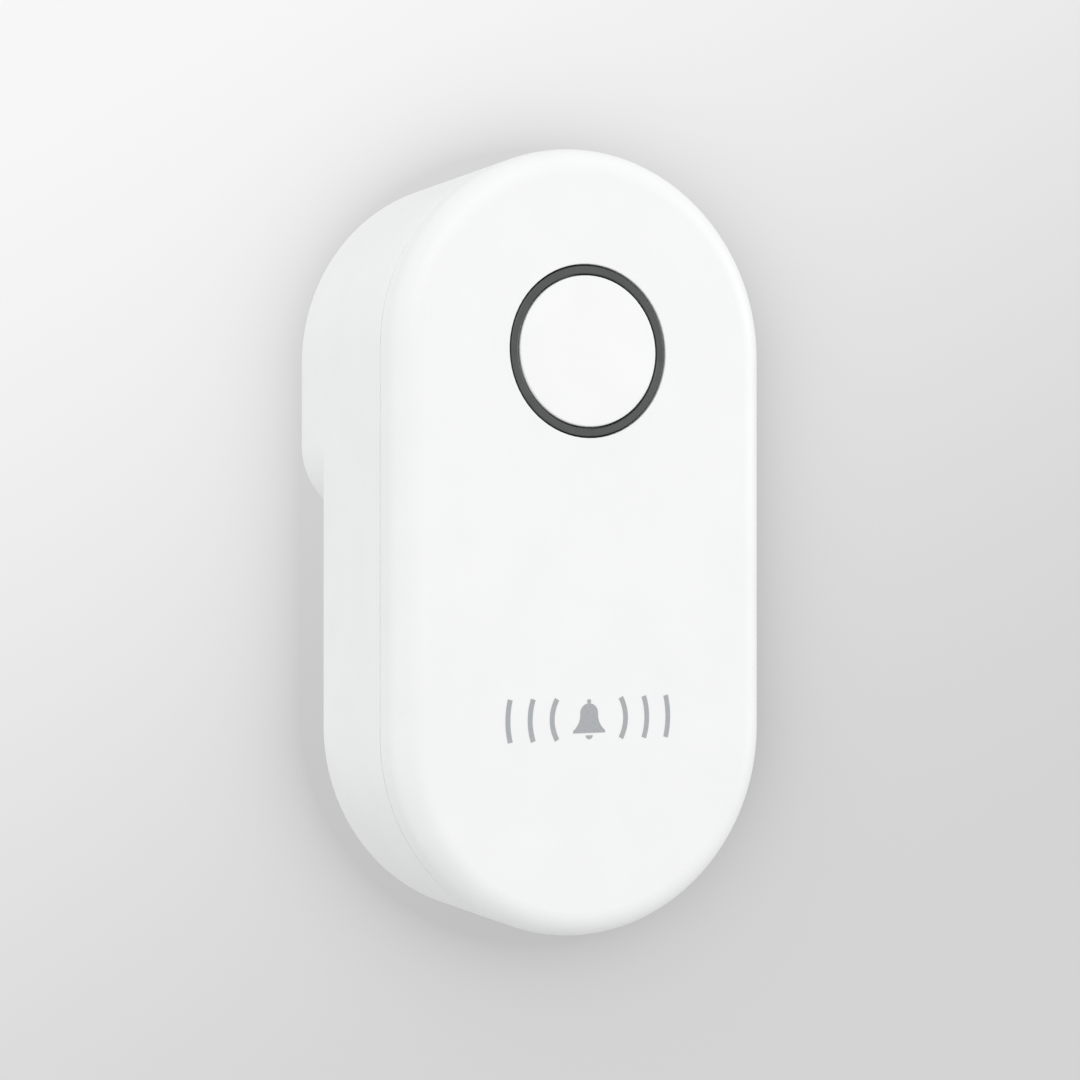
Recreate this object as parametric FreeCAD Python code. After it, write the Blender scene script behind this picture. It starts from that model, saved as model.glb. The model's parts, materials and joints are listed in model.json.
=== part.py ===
"""Plug-in doorbell chime: the indoor half of a video doorbell set.

A tall case with round ends plugs straight into a wall outlet.  Its upper half is deeper than the
rest, and carries the mains plug on its back; the shallower lower half leaves a gap to the wall, into
which the loudspeaker plays.  On the front, a push button sits inside a recessed ring-shaped light.

Millimetres, +Z up.  The origin is the middle of the plug on the plane that meets the wall, +Y points
into the wall, so the front faces -Y, and +X is the right-hand side seen from the front.
"""

import FreeCAD, Part

import math
import os

from FreeCAD import Vector

# ---------------------------------------------------------------- driving dimensions
# Case
CASE_WIDTH = 56.0
CASE_HEIGHT = 108.2
COVER_DEPTH = 6.6             # front face to parting line
CASE_DEPTH = 22.7             # parting line to the lower back face
HUMP_DEPTH = 9.2              # lower back face to the wall
WALL = 2.0
FRONT_EDGE_RADIUS = 3.5
BACK_EDGE_RADIUS = 1.0
HUMP_DROP = 22.5              # plug axis down to the hump's lower edge
HUMP_CORNER_RADIUS = 10.5
PARTING_GAP = 0.3             # shadow line between cover and case
PARTING_EDGE_RADIUS = 0.1     # of the two outer edges along it
TONGUE_DEPTH = 2.0
TONGUE_THICKNESS = 0.95
TONGUE_CLEARANCE = 0.05

# Front button and ring light
BUTTON_RADIUS = 10.35
BUTTON_TRAVEL = 0.6
BUTTON_FACE = 1.6             # thickness of the cap's front
BUTTON_EDGE_RADIUS = 0.25
BUTTON_FLANGE_STEP = 1.15     # flange radius past the face's radius
BUTTON_FLANGE = 1.0
BUTTON_SKIRT = 2.0
BUTTON_SKIRT_WALL = 1.5
BUTTON_CLEARANCE = 0.25       # dark gap between button and ring
RING_BAND = 1.05              # visible width of the light ring
RING_RECESS = 0.1
RING_CLEARANCE = 0.25         # dark gap between ring and cover
RING_SOFT_RADIUS = 0.15       # of the ring's own edges
RING_EDGE_RADIUS = 0.15       # of the cover's edge round the ring
RING_LIP = 2.1                # thickness of the ring's lip that keeps the button in
RING_FLANGE = 1.3
RING_FLANGE_WIDTH = 2.15
RING_PIPE_WALL = 1.8
RING_LED_GAP = 0.3
COLLAR_WALL = 1.2
COLLAR_CLEARANCE = 0.2
REFLECTOR_WALL = 1.2
SWITCH_SIDE = 6.0
SWITCH_HEIGHT = 3.5
PLUNGER_RADIUS = 1.75
PLUNGER_RISE = 1.4
PLUNGER_DEPTH = 0.9
PLUNGER_FLOOR_GAP = 0.2
POST_RADIUS = 1.6
SPRING_RADIUS = 4.8
SPRING_WIRE = 0.25
SPRING_HALF_TURNS = 9

# Side keys
KEY_RISES = {"volume": 25.2, "melody": 11.2}   # above the lower round end's centre
KEY_LENGTH = 9.0
KEY_WIDTH = 4.2
KEY_PROUD = 0.6
KEY_EDGE_RADIUS = 0.4
KEY_TRAVEL = 0.35
KEY_CLEARANCE = 0.15
KEY_FLANGE = 1.0
KEY_FLANGE_STEP = 0.8
KEY_SEAT_GAP = 0.05
KEY_BOARD_GAP = 0.25          # board's edge to a pressed key
KEY_SWITCH = (4.0, 3.6, 6.0)  # along X, Y and Z
KEY_PLUNGER = (1.2, 0.8)      # outside and inside the switch
KEY_PLUNGER_SIDE = (1.6, 2.6)

# Main board
BOARD_STANDOFF = 6.5
BOARD_THICKNESS = 1.2
BOARD_RISE = 6.2              # lower round end's centre up to the board's lower edge
BOARD_SCREW_INSET = 3.6
BOARD_SCREW_DROP = 4.0        # plug axis down to the upper pair of screws
BOARD_SCREW_REACH = 9.8       # board's sides in to the lower pair
SCREW_HOLE_GAP = 0.25
BOSS_HOLE_GAP = 0.4
STANDOFF_RADIUS = 2.5
LED_COUNT = 8
LED_SIDE = 1.6
LED_HEIGHT = 0.6
RADIO_SIZE = (16.0, 12.0, 0.8)
RADIO_CENTRE = (-9.0, -25.0)
SHIELD_SIZE = (13.0, 9.5, 1.8)
SHIELD_SHEET = 0.2
PROCESSOR_SIZE = (7.0, 7.0, 0.9)
PROCESSOR_CENTRE = (8.0, -23.5)
AMPLIFIER_SIZE = (3.9, 4.9, 1.2)
MEMORY_SIZE = (5.2, 5.2, 1.5)
AUDIO_DROP = 8.6              # processor's centre down to theirs
AUDIO_OFFSETS = (-3.6, 5.2)
RADIO_NOTCHES = 7
RADIO_NOTCH_RADIUS = 0.4
ANTENNA_SIZE = (26.0, 7.0, 0.15)
ANTENNA_FALL = 11.0           # main board's lower edge down to its middle
COAX_RADIUS = 0.57
COAX_BENDS = ((0.6, 0.27), (6.5, 0.55), (6.0, 0.85))   # sideways, and as a share of the way down
SPEAKER_PLUG_X = -16.5
SPEAKER_PLUG_RISE = 15.7      # above the lower round end's centre
SPEAKER_PLUG_SIZE = (6.0, 3.4, 4.0)
SPEAKER_PLUG_PITCH = 2.2
CHIP_LIFT = 0.15
CHIP_CHAMFER = 0.2
CHIP_LEG_REACH = 0.8
CHIP_LEG_SHEET = 0.15
SHEET_THICKNESS = 0.25
SHEET_HALF = (15.0, 15.5)
SHEET_CORNER = 2.0
SHEET_Z = -5.5

# Plug
BLADE_SPACING = 12.7
BLADE_WIDTH = 6.35
BLADE_THICKNESS = 1.5
BLADE_LENGTH = 17.0
BLADE_TIP = 1.2               # length of the tapered tip
BLADE_HOLE_RADIUS = 1.6
BLADE_HOLE_DISTANCE = 11.7
BLADE_TAB_WIDTH = 3.0
BLADE_TIP_SHARES = (0.45, 0.72)   # of thickness and width left at the tip
TAB_STANDOUT = 1.2            # past the power board's front
TAB_CLEARANCE = 0.25
INSERT_HALF = (14.5, 7.5)
INSERT_CORNER = 3.0
INSERT_RECESS = 0.2
INSERT_DEPTH = 10.0
INSERT_CLEARANCE = 0.1
INSERT_SHOULDER = 1.5
INSERT_EAR_Z = 12.0
INSERT_EAR_RADIUS = 3.0
INSERT_EAR = 1.6
INSERT_BOSS = 4.0
INSERT_BOSS_GAP = 0.2

# Power board
POWER_STANDOFF = 10.0
POWER_THICKNESS = 1.6
POWER_EDGE_GAP = 1.0          # to the hump's inner wall
POWER_TOP = 8.4
POWER_SCREW_INSET = 3.4
ISOLATION_SLOT = (1.0, 9.2)   # width and height
ISOLATION_PLACE = (1.0, 6.4)  # x, and above the board's lower edge
TRANSFORMER_CENTRE = (9.5, -13.5)
CORE_HALF = (6.7, 3.0)
CORE_DEPTH = 12.0
CORE_YOKE = 2.0               # ferrite before and behind the windows
CORE_WINDOW = (1.7, 4.9)      # its two sides, from the core's middle
BOBBIN_FOOT = 1.2
BOBBIN_BASE = (6.6, 5.8)
BOBBIN_FLANGE = (4.8, 5.6)
BOBBIN_SHEET = 0.7
BOBBIN_WALL = 0.6             # round the core's centre leg
BOBBIN_GAP = 0.1
WINDING_HALF = (4.6, 5.3)
WINDING_RADIUS = 1.2
BULK_CENTRES = ((-10.0, -6.4), (-10.0, -15.0))
BULK_RADIUS = 4.0
BULK_HEIGHT = 12.0
OUTPUT_CENTRE = (18.0, -3.2)
OUTPUT_RADIUS = 3.1
OUTPUT_HEIGHT = 9.0
CRIMP_RISE = 0.9
CRIMP_DEPTH = 0.35
CRIMP_STEP = 0.4
CAN_EDGE = 0.4
VENT_WIDTH = 0.3
VENT_DEPTH = 0.2
INDUCTOR_CENTRE = (-3.0, -12.4)
INDUCTOR_RADIUS = 2.8
INDUCTOR_NECK = 2.3
INDUCTOR_HEIGHT = 7.6
INDUCTOR_RIM = 1.2
INDUCTOR_BEVEL = 0.4
FUSE_ENDS = (-14.4, -5.6)
FUSE_Z = 5.4
FUSE_LIFT = 2.1               # axis above the board
FUSE_RADIUS = 1.3
FUSE_CAP = 1.6                # radius and length of its end caps
WIRE_RADIUS = 0.3
WIRE_REACH = 1.4
RECTIFIER_CENTRE = (-17.6, -7.4)
RECTIFIER_SIZE = (4.6, 6.4, 2.4)
DISC_Z = -5.9
DISC_RADIUS = 3.4
DISC_LIFT = 4.2
DISC_THICKNESS = 2.8
DISC_EDGE_RADIUS = 1.0
DISC_WIRE_SPREAD = 4.0
CONTROLLER_CENTRE = (11.6, 4.4)
CONTROLLER_SIZE = (3.9, 4.9, 1.4)
DIODE_CENTRE = (0.4, 4.8)
DIODE_SIZE = (2.6, 4.4, 2.0)
POWER_LEAD_START = (18.6, -9.4)
POWER_LEAD_PITCH = (1.8, -1.4)
POWER_LEAD_FALL = 6.4

# Loudspeaker
SPEAKER_RADIUS = 18.0
SPEAKER_FLANGE_WIDTH = 2.0
SPEAKER_SHEET = 0.8
SPEAKER_DEPTH = 7.6           # flange to the basket's floor
SPEAKER_COLLAR = 3.4          # straight part of the basket's wall
YOKE_RADIUS = 8.6
YOKE_DEPTH = 6.0
YOKE_WALL = 1.1
MAGNET_RADIUS = 6.1
MAGNET_THICKNESS = 3.0
PLATE_THICKNESS = 1.4
COIL_CLEARANCE = 0.3
COIL_WALL = 0.5
COIL_DEPTH = 5.6
CONE_THICKNESS = 0.4
CONE_SINK = 1.7               # cone's rim below the frame's flange
SURROUND_WIDTH = 2.8
SURROUND_THICKNESS = 0.3
SURROUND_ROLL = 1.2
GASKET_THICKNESS = 0.8
GASKET_WIDTH = 2.4
MESH_THICKNESS = 0.15
SPEAKER_RIM_WALL = 1.0
SPEAKER_CLEARANCE = 0.3
SPEAKER_SCREW_ANGLES = (30.0, 150.0, 270.0)
SPEAKER_TAG = 1.2
SPEAKER_TAG_SPAN = (-9.0, -3.4)
SPEAKER_WINDOWS = 4
SPEAKER_WINDOW_WIDTH = 6.4
SPEAKER_WINDOW_RISE = 1.8
SPEAKER_WINDOW_START = 4.0    # past the yoke
BASKET_FLOOR_WIDTH = 2.4
CONE_NECK_RISE = 3.4          # above the magnet's top plate
CONE_CAP_RISE = 1.5
GRILLE_PITCH = 3.2
GRILLE_MARGIN = 0.5
GRILLE_HOLE_RADIUS = 0.8

# Fasteners: head radius, head height, shank radius, length
CASE_SCREW = (2.4, 1.8, 1.25, 10.0)
BOARD_SCREW = (1.9, 1.3, 0.85, 5.2)
SMALL_SCREW = (1.7, 1.2, 0.75, 3.4)
SPEAKER_SCREW = (2.3, 1.3, 0.85, 2.8)
CASE_BOSS_WALL = 1.2
CASE_BOSS_ANGLE = 40.0        # of the bosses above and below the end circles' centres
CASE_SEAT = 3.5               # plastic under a case screw's head
COVER_BOSS_RADIUS = 2.9
COVER_BOSS_DEPTH = 10.5
SCREW_CLEARANCE = 0.3
PILOT_SPARE = 0.5             # depth of a screw's hole past its tip
LABEL_SIZE = (30.0, 9.0, 0.15)
LABEL_CORNER = 1.0
LABEL_GAP = 0.2
LABEL_RECESS = 0.2
LABEL_Z = -30.6
LEAD_RADIUS = 0.55

# ---------------------------------------------------------------- places worked out from them
CASE_RADIUS = CASE_WIDTH / 2
INNER_RADIUS = CASE_RADIUS - WALL
LOWER_Z = CASE_WIDTH - CASE_HEIGHT            # centre of the lower round end
KEY_PLACES = {name: LOWER_Z + rise for name, rise in KEY_RISES.items()}
BOARD_BOTTOM = LOWER_Z + BOARD_RISE
ANTENNA_Z = BOARD_BOTTOM - ANTENNA_FALL
SPEAKER_PLUG_Z = LOWER_Z + SPEAKER_PLUG_RISE
Y_STEP = -HUMP_DEPTH
Y_PARTING = Y_STEP - CASE_DEPTH
Y_FACE = Y_PARTING - COVER_DEPTH
Y_COVER_INSIDE = Y_FACE + WALL
Y_STEP_INSIDE = Y_STEP - WALL
Y_HUMP_INSIDE = -WALL

RING_BORE = BUTTON_RADIUS + BUTTON_CLEARANCE
RING_RADIUS = RING_BORE + RING_BAND
RING_OPENING = RING_RADIUS + RING_CLEARANCE
FLANGE_RADIUS = RING_RADIUS + RING_FLANGE_WIDTH
BUTTON_FLANGE_RADIUS = BUTTON_RADIUS + BUTTON_FLANGE_STEP
PIPE_BORE = BUTTON_FLANGE_RADIUS + BUTTON_CLEARANCE
PIPE_RADIUS = PIPE_BORE + RING_PIPE_WALL
Y_RING = Y_FACE + RING_RECESS
Y_SHOULDER = Y_RING + RING_LIP
Y_FLANGE_BACK = Y_COVER_INSIDE + RING_FLANGE
Y_BOARD = Y_COVER_INSIDE + BOARD_STANDOFF
Y_BOARD_BACK = Y_BOARD + BOARD_THICKNESS
Y_PIPE_END = Y_BOARD - LED_HEIGHT - RING_LED_GAP
Y_CAP_INSIDE = Y_FACE + BUTTON_FACE
Y_SWITCH_TOP = Y_BOARD - SWITCH_HEIGHT
Y_PLUNGER_TOP = Y_SWITCH_TOP - PLUNGER_RISE

KEY_Y = Y_BOARD_BACK + KEY_SWITCH[1] / 2
KEY_FLANGE_X = INNER_RADIUS - KEY_SEAT_GAP - KEY_FLANGE
KEY_SWITCH_X = KEY_FLANGE_X - KEY_PLUNGER[0]

Y_EAR = Y_HUMP_INSIDE - INSERT_BOSS
Y_INSERT_END = -INSERT_RECESS - INSERT_DEPTH
Y_POWER = Y_HUMP_INSIDE - POWER_STANDOFF
Y_POWER_FRONT = Y_POWER - POWER_THICKNESS
POWER_INSET = WALL + POWER_EDGE_GAP           # of the power board's outline inside the hump's
POWER_BOTTOM = POWER_INSET - HUMP_DROP
POWER_CORNER = HUMP_CORNER_RADIUS - POWER_INSET
POWER_SLANT = (POWER_CORNER - POWER_SCREW_INSET) * math.sqrt(0.5)
POWER_SCREWS = [(side * (CASE_RADIUS - POWER_INSET - POWER_SCREW_INSET), POWER_TOP - POWER_SCREW_INSET)
                for side in (-1, 1)]
POWER_SCREWS += [(side * (CASE_RADIUS - HUMP_CORNER_RADIUS + POWER_SLANT),
                  POWER_BOTTOM + POWER_CORNER - POWER_SLANT) for side in (-1, 1)]

CASE_BORE_RADIUS = CASE_SCREW[0] + SCREW_CLEARANCE
CASE_BOSS_RADIUS = CASE_BORE_RADIUS + CASE_BOSS_WALL
BOSS_CIRCLE = INNER_RADIUS - COVER_BOSS_RADIUS - BOSS_HOLE_GAP
BOSS_X = BOSS_CIRCLE * math.cos(math.radians(CASE_BOSS_ANGLE))
BOSS_RISE = BOSS_CIRCLE * math.sin(math.radians(CASE_BOSS_ANGLE))
CASE_SCREWS = [(side * BOSS_X, z) for side in (-1, 1) for z in (BOSS_RISE, LOWER_Z - BOSS_RISE)]
Y_BOSS_MEET = Y_COVER_INSIDE + COVER_BOSS_DEPTH
Y_CASE_SEAT = Y_BOSS_MEET + CASE_SEAT

BOARD_HALF_WIDTH = KEY_FLANGE_X - KEY_TRAVEL - KEY_BOARD_GAP
BOARD_SCREWS = [(side * (BOARD_HALF_WIDTH - BOARD_SCREW_INSET), -BOARD_SCREW_DROP) for side in (-1, 1)]
BOARD_SCREWS += [(side * (BOARD_HALF_WIDTH - BOARD_SCREW_REACH), BOARD_BOTTOM + BOARD_SCREW_INSET)
                 for side in (-1, 1)]

Y_SPEAKER = Y_STEP_INSIDE - GASKET_THICKNESS  # front of the surround's lip, which faces the wall
Y_FLANGE = Y_SPEAKER - SURROUND_THICKNESS
Y_FLANGE_INSIDE = Y_FLANGE - SPEAKER_SHEET
Y_BASKET_FLOOR = Y_FLANGE - SPEAKER_DEPTH
Y_YOKE_FLOOR = Y_BASKET_FLOOR - YOKE_DEPTH + YOKE_WALL
Y_MAGNET_TOP = Y_YOKE_FLOOR + MAGNET_THICKNESS
Y_PLATE_TOP = Y_MAGNET_TOP + PLATE_THICKNESS
COIL_BORE = MAGNET_RADIUS + COIL_CLEARANCE
COIL_RADIUS = COIL_BORE + COIL_WALL
Y_CONE_NECK = Y_PLATE_TOP + CONE_NECK_RISE
Y_CONE_RIM = Y_SPEAKER - CONE_SINK
SPEAKER_LIP = SPEAKER_RADIUS - SPEAKER_FLANGE_WIDTH
CONE_RADIUS = SPEAKER_LIP - SURROUND_WIDTH
MESH_RADIUS = SPEAKER_RADIUS - GASKET_WIDTH - SPEAKER_CLEARANCE
GRILLE_RINGS = int((MESH_RADIUS - GRILLE_HOLE_RADIUS - GRILLE_MARGIN) / GRILLE_PITCH)
SPEAKER_RIM_RADIUS = SPEAKER_RADIUS + SPEAKER_CLEARANCE
SPEAKER_SCREW_CIRCLE = SPEAKER_RIM_RADIUS + SPEAKER_SCREW[2] + SCREW_HOLE_GAP


# ---------------------------------------------------------------- solid helpers
def block(x0, x1, y0, y1, z0, z1):
    """A box between two corners, in any order."""
    low = Vector(min(x0, x1), min(y0, y1), min(z0, z1))
    return Part.makeBox(abs(x1 - x0), abs(y1 - y0), abs(z1 - z0), low)


def rod(radius, y0, y1, x=0.0, z=0.0):
    """A cylinder along Y."""
    return Part.makeCylinder(radius, abs(y1 - y0), Vector(x, min(y0, y1), z), Vector(0, 1, 0))


def tube(outer, inner, y0, y1, x=0.0, z=0.0):
    """A hollow cylinder along Y."""
    return rod(outer, y0, y1, x, z).cut(rod(inner, y0, y1, x, z))


def turned(points, x=0.0, z=0.0):
    """A solid of revolution about the Y axis through (x, z), from its (radius, y) outline."""
    corners = [Vector(x + r, y, z) for r, y in points]
    face = Part.Face(Part.makePolygon(corners + corners[:1]))
    return face.revolve(Vector(x, 0, z), Vector(0, 1, 0), 360)


def prism(wire, y0, y1):
    """A wire that lies at y0, extruded to y1."""
    return Part.Face(wire).extrude(Vector(0, y1 - y0, 0))


def capsule_wire(inset, y):
    """The case's outline: two half circles joined by straight sides."""
    r = CASE_RADIUS - inset
    top = Part.Arc(Vector(r, y, 0), Vector(0, y, r), Vector(-r, y, 0)).toShape()
    left = Part.makeLine(Vector(-r, y, 0), Vector(-r, y, LOWER_Z))
    bottom = Part.Arc(Vector(-r, y, LOWER_Z), Vector(0, y, LOWER_Z - r), Vector(r, y, LOWER_Z)).toShape()
    right = Part.makeLine(Vector(r, y, LOWER_Z), Vector(r, y, 0))
    return Part.Wire([top, left, bottom, right])


def capsule(inset, y0, y1):
    return prism(capsule_wire(inset, y0), y0, y1)


def hump_wire(inset, y):
    """The hump's outline: the case's round top, closed below by two rounded corners."""
    r = CASE_RADIUS - inset
    c = HUMP_CORNER_RADIUS - inset
    low = inset - HUMP_DROP
    turn = low + c
    slant = c * math.sqrt(0.5)
    top = Part.Arc(Vector(r, y, 0), Vector(0, y, r), Vector(-r, y, 0)).toShape()
    left = Part.makeLine(Vector(-r, y, 0), Vector(-r, y, turn))
    left_turn = Part.Arc(Vector(-r, y, turn), Vector(c - r - slant, y, turn - slant),
                         Vector(c - r, y, low)).toShape()
    base = Part.makeLine(Vector(c - r, y, low), Vector(r - c, y, low))
    right_turn = Part.Arc(Vector(r - c, y, low), Vector(r - c + slant, y, turn - slant),
                          Vector(r, y, turn)).toShape()
    right = Part.makeLine(Vector(r, y, turn), Vector(r, y, 0))
    return Part.Wire([top, left, left_turn, base, right_turn, right])


def hump(inset, y0, y1):
    return prism(hump_wire(inset, y0), y0, y1)


def rounded_plate(half_x, half_z, radius, y0, y1, x=0.0, z=0.0):
    """A slab across Y with rounded corners."""
    slab = block(x - half_x, x + half_x, y0, y1, z - half_z, z + half_z)
    return slab.makeFillet(radius, [e for e in slab.Edges if abs(e.tangentAt(0).y) > 0.99])


def key_prism(length, width, x0, x1, z):
    """A bar along X with round ends above and below, centred on a side key."""
    half = (length - width) / 2
    shape = block(x0, x1, KEY_Y - width / 2, KEY_Y + width / 2, z - half, z + half)
    for end in (z - half, z + half):
        low = Vector(min(x0, x1), KEY_Y, end)
        shape = shape.fuse(Part.makeCylinder(width / 2, abs(x1 - x0), low, Vector(1, 0, 0)))
    return shape.removeSplitter()


def edges_at_y(shape, y):
    """The edges that lie wholly in the plane at y."""
    return [e for e in shape.Edges
            if abs(e.BoundBox.YMin - y) < 1e-4 and abs(e.BoundBox.YMax - y) < 1e-4]


def fused(shapes):
    """One solid of many that touch or overlap."""
    return shapes[0].multiFuse(shapes[1:]).removeSplitter()


def screw(size, x, z, y_seat, towards):
    """A pan-head screw with a cross recess: its shank runs from the seat towards -Y or +Y."""
    head_radius, head_height, shank_radius, length = size
    crown = head_radius * 0.72
    y_top = y_seat - towards * head_height
    head = turned([(0, y_seat), (head_radius, y_seat), (head_radius, y_seat - towards * head_height * 0.55),
                   (crown, y_top), (0, y_top)], x, z)
    tip = y_seat + towards * length
    shank = turned([(0, y_seat), (shank_radius, y_seat), (shank_radius, tip - towards * shank_radius),
                    (shank_radius * 0.4, tip), (0, tip)], x, z)
    slot = head_radius * 0.16
    reach = head_radius * 0.6
    floor = y_top + towards * head_height * 0.5
    cross = block(x - reach, x + reach, y_top, floor, z - slot, z + slot)
    cross = cross.fuse(block(x - slot, x + slot, y_top, floor, z - reach, z + reach))
    return fused([head, shank]).cut(cross)


def chip(x, z, y_face, side, size, legs=4, leg=0.35):
    """A moulded chip with gull legs along two edges, standing on a board face; side is -1 or +1 in Y."""
    width, height, thick = size
    low, high = y_face + side * CHIP_LIFT, y_face + side * (CHIP_LIFT + thick)
    body = block(x - width / 2, x + width / 2, low, high, z - height / 2, z + height / 2)
    body = body.makeChamfer(CHIP_CHAMFER, edges_at_y(body, high))
    shapes = [body]
    pitch = height / legs
    for row in range(legs):
        centre = z - height / 2 + pitch * (row + 0.5)
        for end in (-1, 1):
            x0 = x + end * width / 2
            x1 = x + end * (width / 2 + CHIP_LEG_REACH)
            shapes.append(block(x0, x1, y_face, y_face + side * (CHIP_LIFT + CHIP_LEG_SHEET),
                                centre - leg / 2, centre + leg / 2))
    return fused(shapes)


def lead(points, radius):
    """A round wire along straight runs joined by tangent arcs as large as the runs allow."""
    corners = [Vector(*p) for p in points]
    edges = []
    at = corners[0]
    for before, corner, after in zip(corners, corners[1:], corners[2:]):
        back, ahead = before - corner, after - corner
        shorter = min(back.Length, ahead.Length)
        back.normalize()
        ahead.normalize()
        cut = 0.45 * shorter
        start, end = corner + back * cut, corner + ahead * cut
        half = back.getAngle(ahead) / 2
        bisector = back + ahead
        bisector.normalize()
        middle = corner + bisector * (cut / math.cos(half) - cut * math.tan(half))
        edges.append(Part.LineSegment(at, start).toShape())
        edges.append(Part.Arc(start, middle, end).toShape())
        at = end
    edges.append(Part.LineSegment(at, corners[-1]).toShape())
    section = Part.Wire(Part.makeCircle(radius, corners[0], corners[1] - corners[0]))
    return Part.Wire(edges).makePipeShell([section], True, True)


# ---------------------------------------------------------------- case
def front_cover():
    """Front shell: soft front edge, tongue, collar round the ring light, bosses and standoffs."""
    outer = capsule(0, Y_FACE, Y_PARTING)
    outer = outer.makeFillet(FRONT_EDGE_RADIUS, edges_at_y(outer, Y_FACE))
    outer = outer.makeFillet(PARTING_EDGE_RADIUS, edges_at_y(outer, Y_PARTING))
    cavity = capsule(WALL, Y_COVER_INSIDE, Y_PARTING)
    cavity = cavity.makeFillet(FRONT_EDGE_RADIUS - WALL, edges_at_y(cavity, Y_COVER_INSIDE))
    shell = outer.cut(cavity)
    y_tongue = Y_PARTING + TONGUE_DEPTH
    tongue = capsule(WALL - TONGUE_THICKNESS, Y_PARTING, y_tongue).cut(capsule(WALL, Y_PARTING, y_tongue))
    collar = tube(FLANGE_RADIUS + COLLAR_CLEARANCE + COLLAR_WALL, FLANGE_RADIUS + COLLAR_CLEARANCE,
                  Y_COVER_INSIDE, Y_FLANGE_BACK)
    shapes = [shell, tongue, collar]
    shapes += [rod(COVER_BOSS_RADIUS, Y_COVER_INSIDE, Y_BOSS_MEET, x, z) for x, z in CASE_SCREWS]
    shapes += [rod(STANDOFF_RADIUS, Y_COVER_INSIDE, Y_BOARD, x, z) for x, z in BOARD_SCREWS]
    cover = fused(shapes)
    opening = rod(RING_OPENING, Y_FACE, Y_COVER_INSIDE)
    drills = [rod(CASE_SCREW[2], Y_CASE_SEAT - CASE_SCREW[3] - PILOT_SPARE, Y_BOSS_MEET, x, z)
              for x, z in CASE_SCREWS]
    drills += [rod(BOARD_SCREW[2], Y_BOARD_BACK - BOARD_SCREW[3] - PILOT_SPARE, Y_BOARD, x, z)
               for x, z in BOARD_SCREWS]
    cover = cover.cut(Part.makeCompound([opening] + drills))
    rim = [e for e in edges_at_y(cover, Y_FACE) if e.BoundBox.XLength < 2 * RING_OPENING + 1e-3
           and e.BoundBox.ZMin > -RING_OPENING - 1e-3]
    return cover.makeFillet(RING_EDGE_RADIUS, rim)


def case_outside():
    """The rear case's outer form: the lower body and the deeper hump, each with a soft back edge."""
    y_rim = Y_PARTING + PARTING_GAP
    body = capsule(0, y_rim, Y_STEP)
    body = body.makeFillet(BACK_EDGE_RADIUS, edges_at_y(body, Y_STEP))
    body = body.makeFillet(PARTING_EDGE_RADIUS, edges_at_y(body, y_rim))
    block_up = hump(0, y_rim + TONGUE_DEPTH * 2, 0)
    block_up = block_up.makeFillet(BACK_EDGE_RADIUS, edges_at_y(block_up, 0))
    return body.fuse(block_up).removeSplitter()


def grille_holes():
    """Rings of round holes in front of the loudspeaker."""
    holes = [rod(GRILLE_HOLE_RADIUS, Y_STEP_INSIDE, Y_STEP, 0, LOWER_Z)]
    for ring in range(1, GRILLE_RINGS + 1):
        for n in range(6 * ring):
            angle = 2 * math.pi * n / (6 * ring)
            x = ring * GRILLE_PITCH * math.cos(angle)
            z = LOWER_Z + ring * GRILLE_PITCH * math.sin(angle)
            holes.append(rod(GRILLE_HOLE_RADIUS, Y_STEP_INSIDE, Y_STEP, x, z))
    return holes


def speaker_screw_places():
    angles = [math.radians(a) for a in SPEAKER_SCREW_ANGLES]
    return [(SPEAKER_SCREW_CIRCLE * math.cos(a), LOWER_Z + SPEAKER_SCREW_CIRCLE * math.sin(a))
            for a in angles]


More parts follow.
